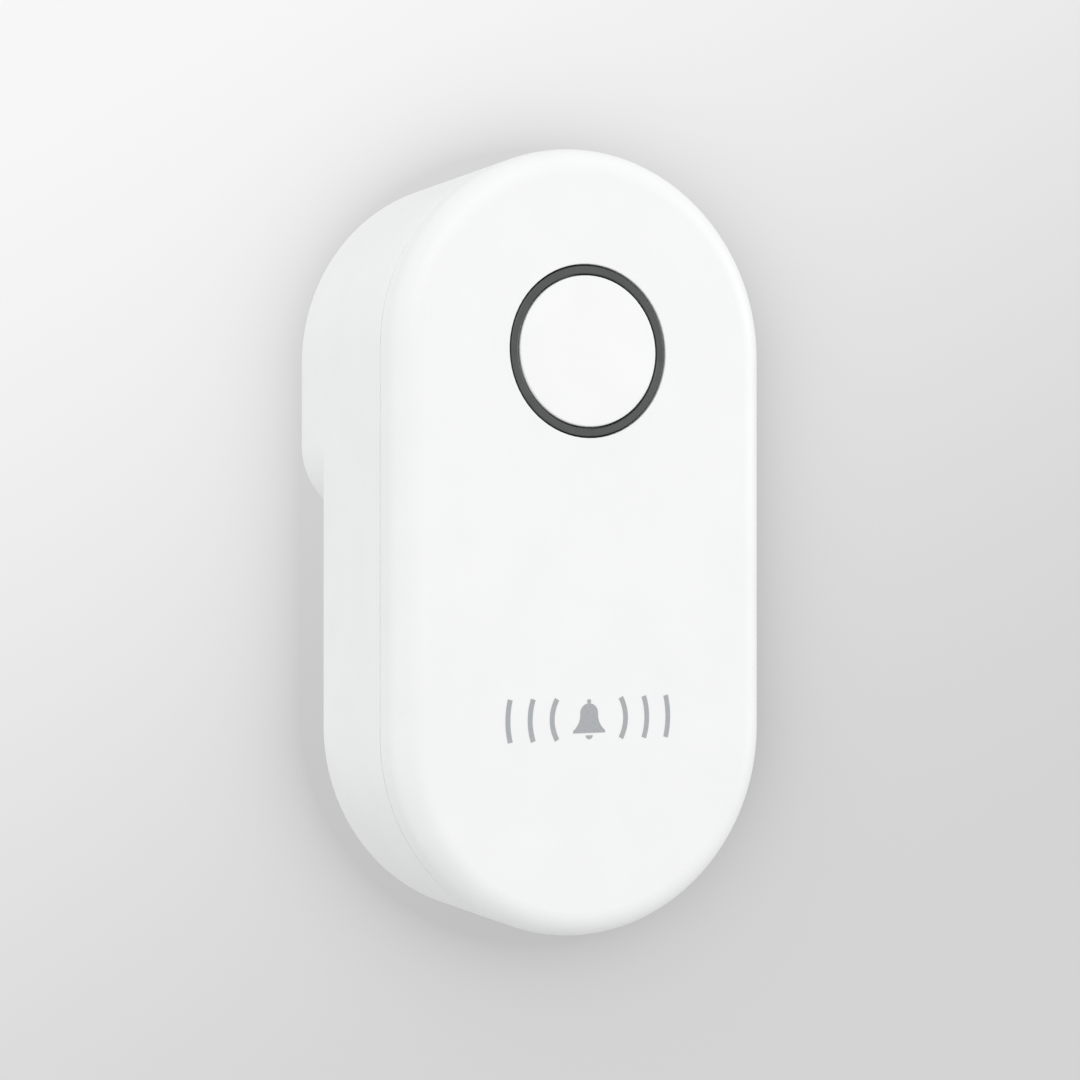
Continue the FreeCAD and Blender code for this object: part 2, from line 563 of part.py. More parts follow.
def rear_case():
    """Rear shell with its hump, bosses, plug opening, speaker seat and grille, and key slots."""
    y_rim = Y_PARTING + PARTING_GAP
    hollow = fused([capsule(WALL, y_rim, Y_STEP_INSIDE),
                    hump(WALL, y_rim + TONGUE_DEPTH * 2, Y_HUMP_INSIDE)])
    shell = case_outside().cut(hollow)
    shapes = [shell]
    for x, z in CASE_SCREWS:
        y_back = Y_HUMP_INSIDE if z > 0 else Y_STEP_INSIDE
        shapes.append(rod(CASE_BOSS_RADIUS, Y_BOSS_MEET, y_back, x, z))
    shapes += [rod(STANDOFF_RADIUS, Y_POWER, Y_HUMP_INSIDE, x, z) for x, z in POWER_SCREWS]
    shapes += [rod(STANDOFF_RADIUS, Y_EAR, Y_HUMP_INSIDE, 0, side * INSERT_EAR_Z) for side in (-1, 1)]
    shapes.append(tube(SPEAKER_RIM_RADIUS + SPEAKER_RIM_WALL, SPEAKER_RIM_RADIUS, Y_FLANGE_INSIDE,
                       Y_STEP_INSIDE, 0, LOWER_Z))
    shapes += [rod(SPEAKER_SCREW[2] + SPEAKER_RIM_WALL, Y_FLANGE_INSIDE, Y_STEP_INSIDE, x, z)
               for x, z in speaker_screw_places()]
    case = fused(shapes)

    rebate_inset = WALL - TONGUE_THICKNESS - TONGUE_CLEARANCE
    y_rebate = Y_PARTING + TONGUE_DEPTH
    cuts = [capsule(rebate_inset, y_rim, y_rebate)]
    cuts.append(rod(SPEAKER_RIM_RADIUS, Y_YOKE_FLOOR, Y_STEP_INSIDE, 0, LOWER_Z))
    for x, z in CASE_SCREWS:
        cuts.append(rod(CASE_BORE_RADIUS, Y_CASE_SEAT, 0, x, z))
        cuts.append(rod(CASE_SCREW[2] + SCREW_CLEARANCE, Y_BOSS_MEET, Y_CASE_SEAT, x, z))
    cuts += [rod(BOARD_SCREW[2], Y_POWER, Y_POWER_FRONT + BOARD_SCREW[3] + PILOT_SPARE, x, z)
             for x, z in POWER_SCREWS]
    y_tip = Y_EAR - INSERT_EAR + SMALL_SCREW[3]
    cuts += [rod(SMALL_SCREW[2], Y_EAR, y_tip + PILOT_SPARE, 0, side * INSERT_EAR_Z) for side in (-1, 1)]
    y_tip = Y_FLANGE_INSIDE + SPEAKER_SCREW[3]
    cuts += [rod(SPEAKER_SCREW[2], Y_FLANGE_INSIDE, y_tip + PILOT_SPARE / 2, x, z)
             for x, z in speaker_screw_places()]
    half_x, half_z = INSERT_HALF
    cuts.append(rounded_plate(half_x + INSERT_CLEARANCE, half_z + INSERT_CLEARANCE,
                              INSERT_CORNER + INSERT_CLEARANCE, Y_HUMP_INSIDE, 0))
    cuts += [key_prism(KEY_LENGTH + 2 * KEY_CLEARANCE, KEY_WIDTH + 2 * KEY_CLEARANCE,
                       INNER_RADIUS, CASE_RADIUS, z) for z in KEY_PLACES.values()]
    cuts.append(rounded_plate(LABEL_SIZE[0] / 2 + LABEL_GAP, LABEL_SIZE[1] / 2 + LABEL_GAP,
                              LABEL_CORNER + LABEL_GAP, Y_STEP - LABEL_RECESS, Y_STEP, 0, LABEL_Z))
    cuts += grille_holes()
    return case.cut(Part.makeCompound(cuts))


def rating_label():
    """A blank film label in its shallow recess."""
    width, height, thick = LABEL_SIZE
    y_floor = Y_STEP - LABEL_RECESS
    return rounded_plate(width / 2, height / 2, LABEL_CORNER, y_floor, y_floor + thick, 0, LABEL_Z)


def case_screws():
    return Part.makeCompound([screw(CASE_SCREW, x, z, Y_CASE_SEAT, -1) for x, z in CASE_SCREWS])


# ---------------------------------------------------------------- front button and ring light
def light_ring():
    """Smoked light guide: the band that shows, the lip that keeps the button in, flange and pipe."""
    ring = turned([(RING_BORE, Y_RING), (RING_RADIUS, Y_RING), (RING_RADIUS, Y_COVER_INSIDE),
                   (FLANGE_RADIUS, Y_COVER_INSIDE), (FLANGE_RADIUS, Y_FLANGE_BACK),
                   (PIPE_RADIUS, Y_FLANGE_BACK), (PIPE_RADIUS, Y_PIPE_END), (PIPE_BORE, Y_PIPE_END),
                   (PIPE_BORE, Y_SHOULDER), (RING_BORE, Y_SHOULDER)])
    return ring.makeFillet(RING_SOFT_RADIUS, edges_at_y(ring, Y_RING))


def light_reflector():
    """White ring that clamps the light guide to the cover and keeps its light in."""
    inner = PIPE_RADIUS + 0.1
    return tube(inner + REFLECTOR_WALL, inner, Y_FLANGE_BACK, Y_BOARD)


def ring_leds():
    """Surface-mounted light-emitting diodes under the light guide, each with a round window."""
    circle = (PIPE_BORE + PIPE_RADIUS) / 2
    half = LED_SIDE / 2
    leds = []
    for n in range(LED_COUNT):
        led = block(circle - half, circle + half, Y_BOARD - LED_HEIGHT, Y_BOARD, -half, half)
        led = led.cut(rod(half * 0.75, Y_BOARD - LED_HEIGHT, Y_BOARD - LED_HEIGHT * 0.75, circle, 0))
        led.rotate(Vector(0, 0, 0), Vector(0, 1, 0), (n + 0.5) * 360 / LED_COUNT)
        leds.append(led)
    return Part.makeCompound(leds)


def button_cap():
    """Moulded cup: round face, flange behind the ring's lip, guiding skirt and central post."""
    y_flange = Y_SHOULDER + KEY_SEAT_GAP
    y_skirt = y_flange + BUTTON_FLANGE + BUTTON_SKIRT
    inside = BUTTON_FLANGE_RADIUS - BUTTON_SKIRT_WALL
    throat = BUTTON_RADIUS - BUTTON_SKIRT_WALL
    soft = BUTTON_EDGE_RADIUS
    cup = turned([(0, Y_FACE), (BUTTON_RADIUS, Y_FACE), (BUTTON_RADIUS, y_flange),
                  (BUTTON_FLANGE_RADIUS, y_flange), (BUTTON_FLANGE_RADIUS, y_skirt), (inside, y_skirt),
                  (inside, y_flange + BUTTON_FLANGE), (throat, y_flange + BUTTON_FLANGE),
                  (throat, Y_CAP_INSIDE), (0, Y_CAP_INSIDE)])
    cup = cup.makeFillet(soft, edges_at_y(cup, Y_FACE))
    post = rod(POST_RADIUS, Y_CAP_INSIDE, Y_PLUNGER_TOP)
    seat = tube(SPRING_RADIUS - 3 * SPRING_WIRE, SPRING_RADIUS - 3 * SPRING_WIRE - 0.8, Y_CAP_INSIDE,
                Y_CAP_INSIDE + 0.6)
    return fused([cup, post, seat])


def button_switch():
    """Tactile switch: square base, metal top plate and the bore its plunger slides in."""
    half = SWITCH_SIDE / 2
    body = block(-half, half, Y_BOARD - SWITCH_HEIGHT + 0.3, Y_BOARD, -half, half)
    body = body.makeChamfer(0.4, [e for e in body.Edges if abs(e.tangentAt(0).y) > 0.99])
    plate = block(-half + 0.2, half - 0.2, Y_SWITCH_TOP, Y_SWITCH_TOP + 0.3, -half + 0.2, half - 0.2)
    y_bore = Y_SWITCH_TOP + PLUNGER_DEPTH + BUTTON_TRAVEL + PLUNGER_FLOOR_GAP
    bore = rod(PLUNGER_RADIUS + KEY_SEAT_GAP, Y_SWITCH_TOP, y_bore)
    return fused([body, plate]).cut(bore)


def button_plunger():
    return rod(PLUNGER_RADIUS, Y_PLUNGER_TOP, Y_SWITCH_TOP + PLUNGER_DEPTH)


def button_spring():
    """Coil spring round the switch: each half turn is a half ring that leans the other way."""
    low, high = Y_CAP_INSIDE + SPRING_WIRE, Y_BOARD - SPRING_WIRE
    rise = (high - low) / SPRING_HALF_TURNS
    halves = []
    for n in range(SPRING_HALF_TURNS):
        side = (-1) ** n
        start = Vector(side * SPRING_RADIUS, low + n * rise, 0)
        centre = Vector(0, low + (n + 0.5) * rise, 0)
        disc = Part.Face(Part.Wire(Part.makeCircle(SPRING_WIRE, start, Vector(0, 0, 1))))
        halves.append(disc.revolve(centre, Vector(0, 0, side).cross(start - centre), 180))
    return fused(halves)


# ---------------------------------------------------------------- side keys
def side_key(z):
    """A key cap: bar through the slot with a soft outer edge, and a flange inside the wall."""
    x_out = CASE_RADIUS + KEY_PROUD
    bar = key_prism(KEY_LENGTH, KEY_WIDTH, KEY_FLANGE_X, x_out, z)
    rim = [e for e in bar.Edges
           if abs(e.BoundBox.XMin - x_out) < 1e-4 and abs(e.BoundBox.XMax - x_out) < 1e-4]
    bar = bar.makeFillet(KEY_EDGE_RADIUS, rim)
    flange = key_prism(KEY_LENGTH + 2 * KEY_FLANGE_STEP, KEY_WIDTH + 2 * KEY_FLANGE_STEP, KEY_FLANGE_X,
                       KEY_FLANGE_X + KEY_FLANGE, z)
    return fused([bar, flange])


def key_plunger(z):
    half_y, half_z = KEY_PLUNGER_SIDE[0] / 2, KEY_PLUNGER_SIDE[1] / 2
    return block(KEY_SWITCH_X - KEY_PLUNGER[1], KEY_FLANGE_X, KEY_Y - half_y, KEY_Y + half_y,
                 z - half_z, z + half_z)


def key_switches():
    """Right-angle switches on the board's back edge, one behind each side key."""
    switches = []
    half_y, half_z = (side / 2 + KEY_SEAT_GAP for side in KEY_PLUNGER_SIDE)
    for z in KEY_PLACES.values():
        body = block(KEY_SWITCH_X - KEY_SWITCH[0], KEY_SWITCH_X, Y_BOARD_BACK, Y_BOARD_BACK + KEY_SWITCH[1],
                     z - KEY_SWITCH[2] / 2, z + KEY_SWITCH[2] / 2)
        x_floor = KEY_SWITCH_X - KEY_PLUNGER[1] - KEY_TRAVEL - PLUNGER_FLOOR_GAP
        well = block(x_floor, KEY_SWITCH_X, KEY_Y - half_y, KEY_Y + half_y, z - half_z, z + half_z)
        switches.append(body.cut(well))
    return Part.makeCompound(switches)


# ---------------------------------------------------------------- main board
def main_board():
    """Circuit board that follows the case, with holes for the cover's bosses and the screws."""
    plate = capsule(CASE_RADIUS - BOARD_HALF_WIDTH, Y_BOARD, Y_BOARD_BACK)
    plate = plate.cut(block(-CASE_RADIUS, CASE_RADIUS, Y_BOARD, Y_BOARD_BACK, -CASE_HEIGHT, BOARD_BOTTOM))
    holes = [rod(COVER_BOSS_RADIUS + BOSS_HOLE_GAP, Y_BOARD, Y_BOARD_BACK, x, z)
             for x, z in CASE_SCREWS if z > 0]
    holes += [rod(BOARD_SCREW[2] + SCREW_HOLE_GAP, Y_BOARD, Y_BOARD_BACK, x, z) for x, z in BOARD_SCREWS]
    return plate.cut(Part.makeCompound(holes))


def board_screws():
    return Part.makeCompound([screw(BOARD_SCREW, x, z, Y_BOARD_BACK, -1) for x, z in BOARD_SCREWS])


def radio_board():
    """Castellated radio module that carries the shield can."""
    width, height, thick = RADIO_SIZE
    x, z = RADIO_CENTRE
    plate = block(x - width / 2, x + width / 2, Y_BOARD - thick, Y_BOARD, z - height / 2, z + height / 2)
    notches = []
    for n in range(RADIO_NOTCHES):
        at = x - width / 2 + width * (n + 0.5) / RADIO_NOTCHES
        notches += [rod(RADIO_NOTCH_RADIUS, Y_BOARD - thick, Y_BOARD, at, z + end * height / 2)
                    for end in (-1, 1)]
    return plate.cut(Part.makeCompound(notches))


def radio_shield():
    """Drawn tin can over the radio's chips, open to its board."""
    width, height, depth = SHIELD_SIZE
    x, z = RADIO_CENTRE
    y_foot = Y_BOARD - RADIO_SIZE[2]
    y_top = y_foot - depth
    can = block(x - width / 2, x + width / 2, y_top, y_foot, z - height / 2, z + height / 2)
    can = can.makeFillet(0.5, edges_at_y(can, y_top) + [e for e in can.Edges if abs(e.tangentAt(0).y) > 0.99])
    t = SHIELD_SHEET
    inside = block(x - width / 2 + t, x + width / 2 - t, y_top + t, y_foot,
                   z - height / 2 + t, z + height / 2 - t)
    inside = inside.makeFillet(0.3, edges_at_y(inside, y_top + t)
                               + [e for e in inside.Edges if abs(e.tangentAt(0).y) > 0.99])
    return can.cut(inside)


def processor_chip():
    x, z = PROCESSOR_CENTRE
    return chip(x, z, Y_BOARD, -1, PROCESSOR_SIZE, legs=8, leg=0.3)


def audio_chips():
    """Amplifier and tone memory below the processor."""
    x, z = PROCESSOR_CENTRE
    sizes = (AMPLIFIER_SIZE, MEMORY_SIZE)
    return Part.makeCompound([chip(x + offset, z - AUDIO_DROP, Y_BOARD, -1, size)
                              for offset, size in zip(AUDIO_OFFSETS, sizes)])


def antenna():
    """Flexible printed antenna stuck inside the cover."""
    width, height, thick = ANTENNA_SIZE
    return block(-width / 2, width / 2, Y_COVER_INSIDE, Y_COVER_INSIDE + thick,
                 ANTENNA_Z - height / 2, ANTENNA_Z + height / 2)


def antenna_coax():
    """Thin coax from the radio module down to the antenna."""
    x, z = RADIO_CENTRE
    y_start = Y_BOARD - RADIO_SIZE[2] - COAX_RADIUS
    y_end = Y_COVER_INSIDE + ANTENNA_SIZE[2] + COAX_RADIUS
    levels = (y_start, (y_start + y_end) / 2, y_end)
    z_start = z - RADIO_SIZE[1] / 2 + COAX_RADIUS
    fall = ANTENNA_Z - z_start
    points = [(x, y_start, z_start)]
    for (sideways, share), y in zip(COAX_BENDS, levels):
        points.append((x + sideways, y, z_start + fall * share))
    points.append((x + COAX_BENDS[1][0], y_end, ANTENNA_Z))
    return lead(points, COAX_RADIUS)


# ---------------------------------------------------------------- plug
def blade(x):
    """One flat pin: tapered tip, locking hole, and a narrow tab soldered through the power board."""
    half = BLADE_THICKNESS / 2
    y_flat = BLADE_LENGTH - BLADE_TIP
    wide = BLADE_WIDTH / 2
    pin = block(x - half, x + half, Y_INSERT_END, y_flat, -wide, wide)
    big = Part.Wire(Part.makePolygon([Vector(x + a * half, y_flat, b * wide)
                                      for a, b in ((-1, -1), (1, -1), (1, 1), (-1, 1), (-1, -1))]))
    thin, narrow = BLADE_TIP_SHARES
    small = Part.Wire(Part.makePolygon([Vector(x + a * half * thin, BLADE_LENGTH, b * wide * narrow)
                                        for a, b in ((-1, -1), (1, -1), (1, 1), (-1, 1), (-1, -1))]))
    tip = Part.makeLoft([big, small], True, True)
    tab_half = BLADE_TAB_WIDTH / 2
    tab = block(x - half, x + half, Y_POWER_FRONT - TAB_STANDOUT, Y_INSERT_END, -tab_half, tab_half)
    hole = Part.makeCylinder(BLADE_HOLE_RADIUS, BLADE_THICKNESS, Vector(x - half, BLADE_HOLE_DISTANCE, 0),
                             Vector(1, 0, 0))
    return fused([pin, tip, tab]).cut(hole)


def plug_blades():
    return Part.makeCompound([blade(side * BLADE_SPACING / 2) for side in (-1, 1)])


def plug_insert():
    """Insulating block that holds the blades: flush face, shoulder inside the wall, screw ears."""
    half_x, half_z = INSERT_HALF
    face = rounded_plate(half_x, half_z, INSERT_CORNER, Y_INSERT_END, -INSERT_RECESS)
    step = INSERT_SHOULDER
    shoulder = rounded_plate(half_x + step, half_z + step, INSERT_CORNER, Y_EAR, Y_HUMP_INSIDE)
    bosses = [rod(STANDOFF_RADIUS + INSERT_BOSS_GAP, Y_EAR, Y_HUMP_INSIDE, 0, side * INSERT_EAR_Z)
              for side in (-1, 1)]
    shoulder = shoulder.cut(Part.makeCompound(bosses))
    ear_block = block(-INSERT_EAR_RADIUS, INSERT_EAR_RADIUS, Y_EAR - INSERT_EAR, Y_EAR,
                      -INSERT_EAR_Z, INSERT_EAR_Z)
    ends = [rod(INSERT_EAR_RADIUS, Y_EAR - INSERT_EAR, Y_EAR, 0, side * INSERT_EAR_Z) for side in (-1, 1)]
    body = fused([face, shoulder, ear_block] + ends)
    half, wide = BLADE_THICKNESS / 2, BLADE_WIDTH / 2
    cuts = []
    for side in (-1, 1):
        cuts.append(rod(SMALL_SCREW[2] + SCREW_HOLE_GAP, Y_EAR - INSERT_EAR, Y_EAR, 0,
                        side * INSERT_EAR_Z))
        x = side * BLADE_SPACING / 2
        cuts.append(block(x - half, x + half, Y_INSERT_END, -INSERT_RECESS, -wide, wide))
    return body.cut(Part.makeCompound(cuts))


def insert_screws():
    return Part.makeCompound([screw(SMALL_SCREW, 0, side * INSERT_EAR_Z, Y_EAR - INSERT_EAR, 1)
                              for side in (-1, 1)])


# ---------------------------------------------------------------- power board
def power_board():
    """Mains circuit board, slotted for the blades' tabs."""
    plate = hump(POWER_INSET, Y_POWER_FRONT, Y_POWER)
    plate = plate.cut(block(-CASE_RADIUS, CASE_RADIUS, Y_POWER_FRONT, Y_POWER, POWER_TOP, CASE_RADIUS))
    cuts = [rod(BOARD_SCREW[2] + SCREW_HOLE_GAP, Y_POWER_FRONT, Y_POWER, x, z) for x, z in POWER_SCREWS]
    half_x = BLADE_THICKNESS / 2 + TAB_CLEARANCE
    half_z = BLADE_TAB_WIDTH / 2 + TAB_CLEARANCE
    for side in (-1, 1):
        x = side * BLADE_SPACING / 2
        cuts.append(block(x - half_x, x + half_x, Y_POWER_FRONT, Y_POWER, -half_z, half_z))
    half_x, half_z = (size / 2 for size in ISOLATION_SLOT)
    x, rise = ISOLATION_PLACE
    cuts.append(rounded_plate(half_x, half_z, half_x * 0.9, Y_POWER_FRONT, Y_POWER, x, POWER_BOTTOM + rise))
    return plate.cut(Part.makeCompound(cuts))


def power_board_screws():
    return Part.makeCompound([screw(BOARD_SCREW, x, z, Y_POWER_FRONT, 1) for x, z in POWER_SCREWS])


def transformer_core():
    """Two E-shaped ferrite halves: a frame with a centre leg."""
    x, z = TRANSFORMER_CENTRE
    half_x, half_z = CORE_HALF
    inner, outer = CORE_WINDOW
    y_foot = Y_POWER_FRONT - BOBBIN_FOOT
    y_top = y_foot - CORE_DEPTH
    core = block(x - half_x, x + half_x, y_top, y_foot, z - half_z, z + half_z)
    windows = [block(x + side * inner, x + side * outer, y_top + CORE_YOKE, y_foot - CORE_YOKE,
                     z - half_z, z + half_z) for side in (-1, 1)]
    return core.cut(Part.makeCompound(windows))


def transformer_bobbin():
    """Plastic spool round the centre leg, standing on its own feet."""
    x, z = TRANSFORMER_CENTRE
    half_x, half_z = BOBBIN_FLANGE
    base_x, base_z = BOBBIN_BASE
    barrel_x, barrel_z = CORE_WINDOW[0] + BOBBIN_WALL, CORE_HALF[1] + BOBBIN_WALL
    y_foot = Y_POWER_FRONT - BOBBIN_FOOT
    y_low, y_high = y_foot - CORE_YOKE, y_foot - CORE_DEPTH + CORE_YOKE
    flanges = [block(x - half_x, x + half_x, y, y - BOBBIN_SHEET, z - half_z, z + half_z)
               for y in (y_low, y_high + BOBBIN_SHEET)]
    barrel = block(x - barrel_x, x + barrel_x, y_high, y_low, z - barrel_z, z + barrel_z)
    base = block(x - base_x, x + base_x, Y_POWER_FRONT, y_foot, z - base_z, z + base_z)
    posts = [block(x - half_x, x + half_x, y_foot, y_low, z + side * (CORE_HALF[1] + BOBBIN_GAP),
                   z + side * half_z) for side in (-1, 1)]
    return fused(flanges + [barrel, base] + posts).cut(transformer_core())


def transformer_winding():
    """Taped winding between the spool's flanges."""
    x, z = TRANSFORMER_CENTRE
    half_x, half_z = WINDING_HALF
    barrel_x, barrel_z = CORE_WINDOW[0] + BOBBIN_WALL, CORE_HALF[1] + BOBBIN_WALL
    y_foot = Y_POWER_FRONT - BOBBIN_FOOT
    y_low = y_foot - CORE_YOKE - BOBBIN_SHEET
    y_high = y_foot - CORE_DEPTH + CORE_YOKE + BOBBIN_SHEET
    coil = block(x - half_x, x + half_x, y_high, y_low, z - half_z, z + half_z)
    coil = coil.makeFillet(WINDING_RADIUS, [e for e in coil.Edges if abs(e.tangentAt(0).y) > 0.99])
    return coil.cut(block(x - barrel_x, x + barrel_x, y_high, y_low, z - barrel_z, z + barrel_z))


def capacitor(x, z, radius, height):
    """Standing electrolytic capacitor: crimped neck and a crossed vent in its top."""
    y_foot = Y_POWER_FRONT
    y_top = y_foot - height
    y_crimp = y_foot - CRIMP_RISE
    neck = radius - CRIMP_DEPTH
    can = turned([(0, y_foot), (radius, y_foot), (radius, y_crimp), (neck, y_crimp - CRIMP_STEP),
                  (neck, y_crimp - 2 * CRIMP_STEP), (radius, y_crimp - 3 * CRIMP_STEP),
                  (radius, y_top + CAN_EDGE), (radius - CAN_EDGE, y_top), (0, y_top)], x, z)
    reach, half = radius * 0.6, VENT_WIDTH / 2
    vent = [block(x - reach, x + reach, y_top, y_top + VENT_DEPTH, z - half, z + half),
            block(x - half, x + half, y_top, y_top + VENT_DEPTH, z - reach, z + reach)]
    return can.cut(Part.makeCompound(vent))


def bulk_capacitors():
    return Part.makeCompound([capacitor(x, z, BULK_RADIUS, BULK_HEIGHT) for x, z in BULK_CENTRES])


def output_capacitor():
    return capacitor(*OUTPUT_CENTRE, OUTPUT_RADIUS, OUTPUT_HEIGHT)


def power_inductor():
    """Drum-cored choke."""
    y, y_top = Y_POWER_FRONT, Y_POWER_FRONT - INDUCTOR_HEIGHT
    rim = INDUCTOR_RIM + INDUCTOR_BEVEL
    return turned([(0, y), (INDUCTOR_RADIUS, y), (INDUCTOR_RADIUS, y - INDUCTOR_RIM),
                   (INDUCTOR_NECK, y - rim), (INDUCTOR_NECK, y_top + rim),
                   (INDUCTOR_RADIUS, y_top + INDUCTOR_RIM), (INDUCTOR_RADIUS, y_top), (0, y_top)],
                  *INDUCTOR_CENTRE)


def fuse_resistor():
    """Axial fusible resistor lying above the board on its two bent wires."""
    x0, x1 = FUSE_ENDS
    y = Y_POWER_FRONT - FUSE_LIFT
    along = Vector(1, 0, 0)
    body = Part.makeCylinder(FUSE_RADIUS, x1 - x0, Vector(x0, y, FUSE_Z), along)
    caps = [Part.makeCylinder(FUSE_CAP, FUSE_CAP, Vector(x, y, FUSE_Z), along) for x in (x0, x1 - FUSE_CAP)]
    legs = []
    for x, side in ((x0, -1), (x1, 1)):
        out = x + side * WIRE_REACH
        legs.append(lead([(x - side * WIRE_RADIUS, y, FUSE_Z), (out, y, FUSE_Z),
                          (out, Y_POWER_FRONT, FUSE_Z)], WIRE_RADIUS))
    return fused([body] + caps + legs)


def bridge_rectifier():
    return chip(*RECTIFIER_CENTRE, Y_POWER_FRONT, -1, RECTIFIER_SIZE, legs=2, leg=1.0)


def safety_capacitor():
    """Disc capacitor standing across the isolation gap."""
    y = Y_POWER_FRONT - DISC_LIFT
    disc = Part.makeCylinder(DISC_RADIUS, DISC_THICKNESS, Vector(0, y, DISC_Z), Vector(0, 0, 1))
    disc = disc.makeFillet(DISC_EDGE_RADIUS, [e for e in disc.Edges if e.Closed and len(e.Vertexes) == 1])
    legs = [rod(WIRE_RADIUS, y + DISC_RADIUS / 2, Y_POWER_FRONT, side * DISC_WIRE_SPREAD / 2,
                DISC_Z + DISC_THICKNESS / 2) for side in (-1, 1)]
    return fused([disc] + legs)


def power_chips():
    """Switching controller and output diode."""
    return Part.makeCompound([chip(*CONTROLLER_CENTRE, Y_POWER_FRONT, -1, CONTROLLER_SIZE),
                              chip(*DIODE_CENTRE, Y_POWER_FRONT, -1, DIODE_SIZE, legs=1, leg=1.4)])


def power_leads():
    """Red and black wires from the power board to the back of the main board."""
    wires = []
    for n in range(2):
        x, z = (start + n * pitch for start, pitch in zip(POWER_LEAD_START, POWER_LEAD_PITCH))
        gap = Y_POWER_FRONT - Y_BOARD_BACK
        x_end, z_end = x - LEAD_RADIUS, z - POWER_LEAD_FALL
        wires.append(lead([(x, Y_POWER_FRONT, z), (x, Y_POWER_FRONT - 0.29 * gap, z),
                           (x_end, Y_POWER_FRONT - 0.54 * gap, (z + z_end) / 2),
                           (x_end, Y_BOARD_BACK + 0.22 * gap, z_end), (x_end, Y_BOARD_BACK, z_end)],
                          LEAD_RADIUS))
    return Part.makeCompound(wires)


def insulation_sheet():
    """Fish-paper sheet on the back of the main board, facing the mains parts."""
    return rounded_plate(*SHEET_HALF, SHEET_CORNER, Y_BOARD_BACK, Y_BOARD_BACK + SHEET_THICKNESS, 0, SHEET_Z)


# ---------------------------------------------------------------- loudspeaker, which plays towards the wall
def speaker_mesh():
    """Dust cloth behind the grille."""
    return rod(MESH_RADIUS, Y_STEP_INSIDE - MESH_THICKNESS, Y_STEP_INSIDE, 0, LOWER_Z)


def speaker_gasket():
    return tube(SPEAKER_RADIUS, SPEAKER_RADIUS - GASKET_WIDTH, Y_SPEAKER, Y_STEP_INSIDE, 0, LOWER_Z)


def speaker_frame():
    """Pressed steel basket with four windows."""
    t = SPEAKER_SHEET
    floor = YOKE_RADIUS + BASKET_FLOOR_WIDTH
    y_bend = Y_FLANGE - SPEAKER_COLLAR
    basket = turned([(SPEAKER_RADIUS, Y_FLANGE), (SPEAKER_RADIUS, Y_FLANGE_INSIDE),
                     (SPEAKER_LIP + t, Y_FLANGE_INSIDE), (SPEAKER_LIP + t, y_bend),
                     (floor + t, Y_BASKET_FLOOR), (YOKE_RADIUS, Y_BASKET_FLOOR),
                     (YOKE_RADIUS, Y_BASKET_FLOOR + t), (floor, Y_BASKET_FLOOR + t),
                     (SPEAKER_LIP, y_bend + t), (SPEAKER_LIP, Y_FLANGE)], 0, LOWER_Z)
    windows = []
    half = SPEAKER_WINDOW_WIDTH / 2
    for n in range(SPEAKER_WINDOWS):
        window = block(YOKE_RADIUS + SPEAKER_WINDOW_START, SPEAKER_RADIUS,
                       Y_BASKET_FLOOR + SPEAKER_WINDOW_RISE, y_bend, LOWER_Z - half, LOWER_Z + half)
        window.rotate(Vector(0, 0, LOWER_Z), Vector(0, 1, 0), (n + 0.5) * 360 / SPEAKER_WINDOWS)
        windows.append(window)
    return basket.cut(Part.makeCompound(windows))


def speaker_yoke():
    """Steel cup round the magnet."""
    y_rim = Y_BASKET_FLOOR + SPEAKER_SHEET
    inside = YOKE_RADIUS - YOKE_WALL
    return turned([(0, Y_YOKE_FLOOR - YOKE_WALL), (YOKE_RADIUS, Y_YOKE_FLOOR - YOKE_WALL),
                   (YOKE_RADIUS, y_rim), (inside, y_rim), (inside, Y_YOKE_FLOOR), (0, Y_YOKE_FLOOR)],
                  0, LOWER_Z)


def speaker_magnet():
    return rod(MAGNET_RADIUS, Y_YOKE_FLOOR, Y_MAGNET_TOP, 0, LOWER_Z)


def speaker_plate():
    return rod(MAGNET_RADIUS, Y_MAGNET_TOP, Y_PLATE_TOP, 0, LOWER_Z)


def voice_coil():
    return tube(COIL_RADIUS, COIL_BORE, Y_CONE_NECK - COIL_DEPTH, Y_CONE_NECK, 0, LOWER_Z)


def speaker_cone():
    """Paper cone with its dust cap, in one pressing."""
    t = CONE_THICKNESS
    shoulder, y_shoulder = COIL_BORE * 0.6, Y_CONE_NECK + CONE_CAP_RISE * 0.75
    y_crown = Y_CONE_NECK + CONE_CAP_RISE
    return turned([(0, y_crown), (shoulder, y_shoulder), (COIL_BORE, Y_CONE_NECK),
                   (COIL_RADIUS, Y_CONE_NECK), (CONE_RADIUS, Y_CONE_RIM), (CONE_RADIUS, Y_CONE_RIM + t),
                   (COIL_RADIUS, Y_CONE_NECK + t), (shoulder, y_shoulder + t), (0, y_crown + t)],
                  0, LOWER_Z)


def speaker_surround():
    """Rubber roll that joins the cone to the frame; it flexes as the cone moves."""
    t = SURROUND_THICKNESS
    outer = SPEAKER_LIP - SPEAKER_CLEARANCE
    middle = (CONE_RADIUS + outer) / 2
    y_low = Y_CONE_RIM - SURROUND_ROLL
    return turned([(CONE_RADIUS, Y_CONE_RIM), (CONE_RADIUS, Y_CONE_RIM + CONE_THICKNESS),
                   (middle - 0.4, y_low + t), (middle + 0.4, y_low + t), (outer - t, Y_SPEAKER),
                   (SPEAKER_RADIUS, Y_SPEAKER), (SPEAKER_RADIUS, Y_FLANGE), (outer, Y_FLANGE),
                   (middle + 0.6, y_low), (middle - 0.6, y_low)], 0, LOWER_Z)


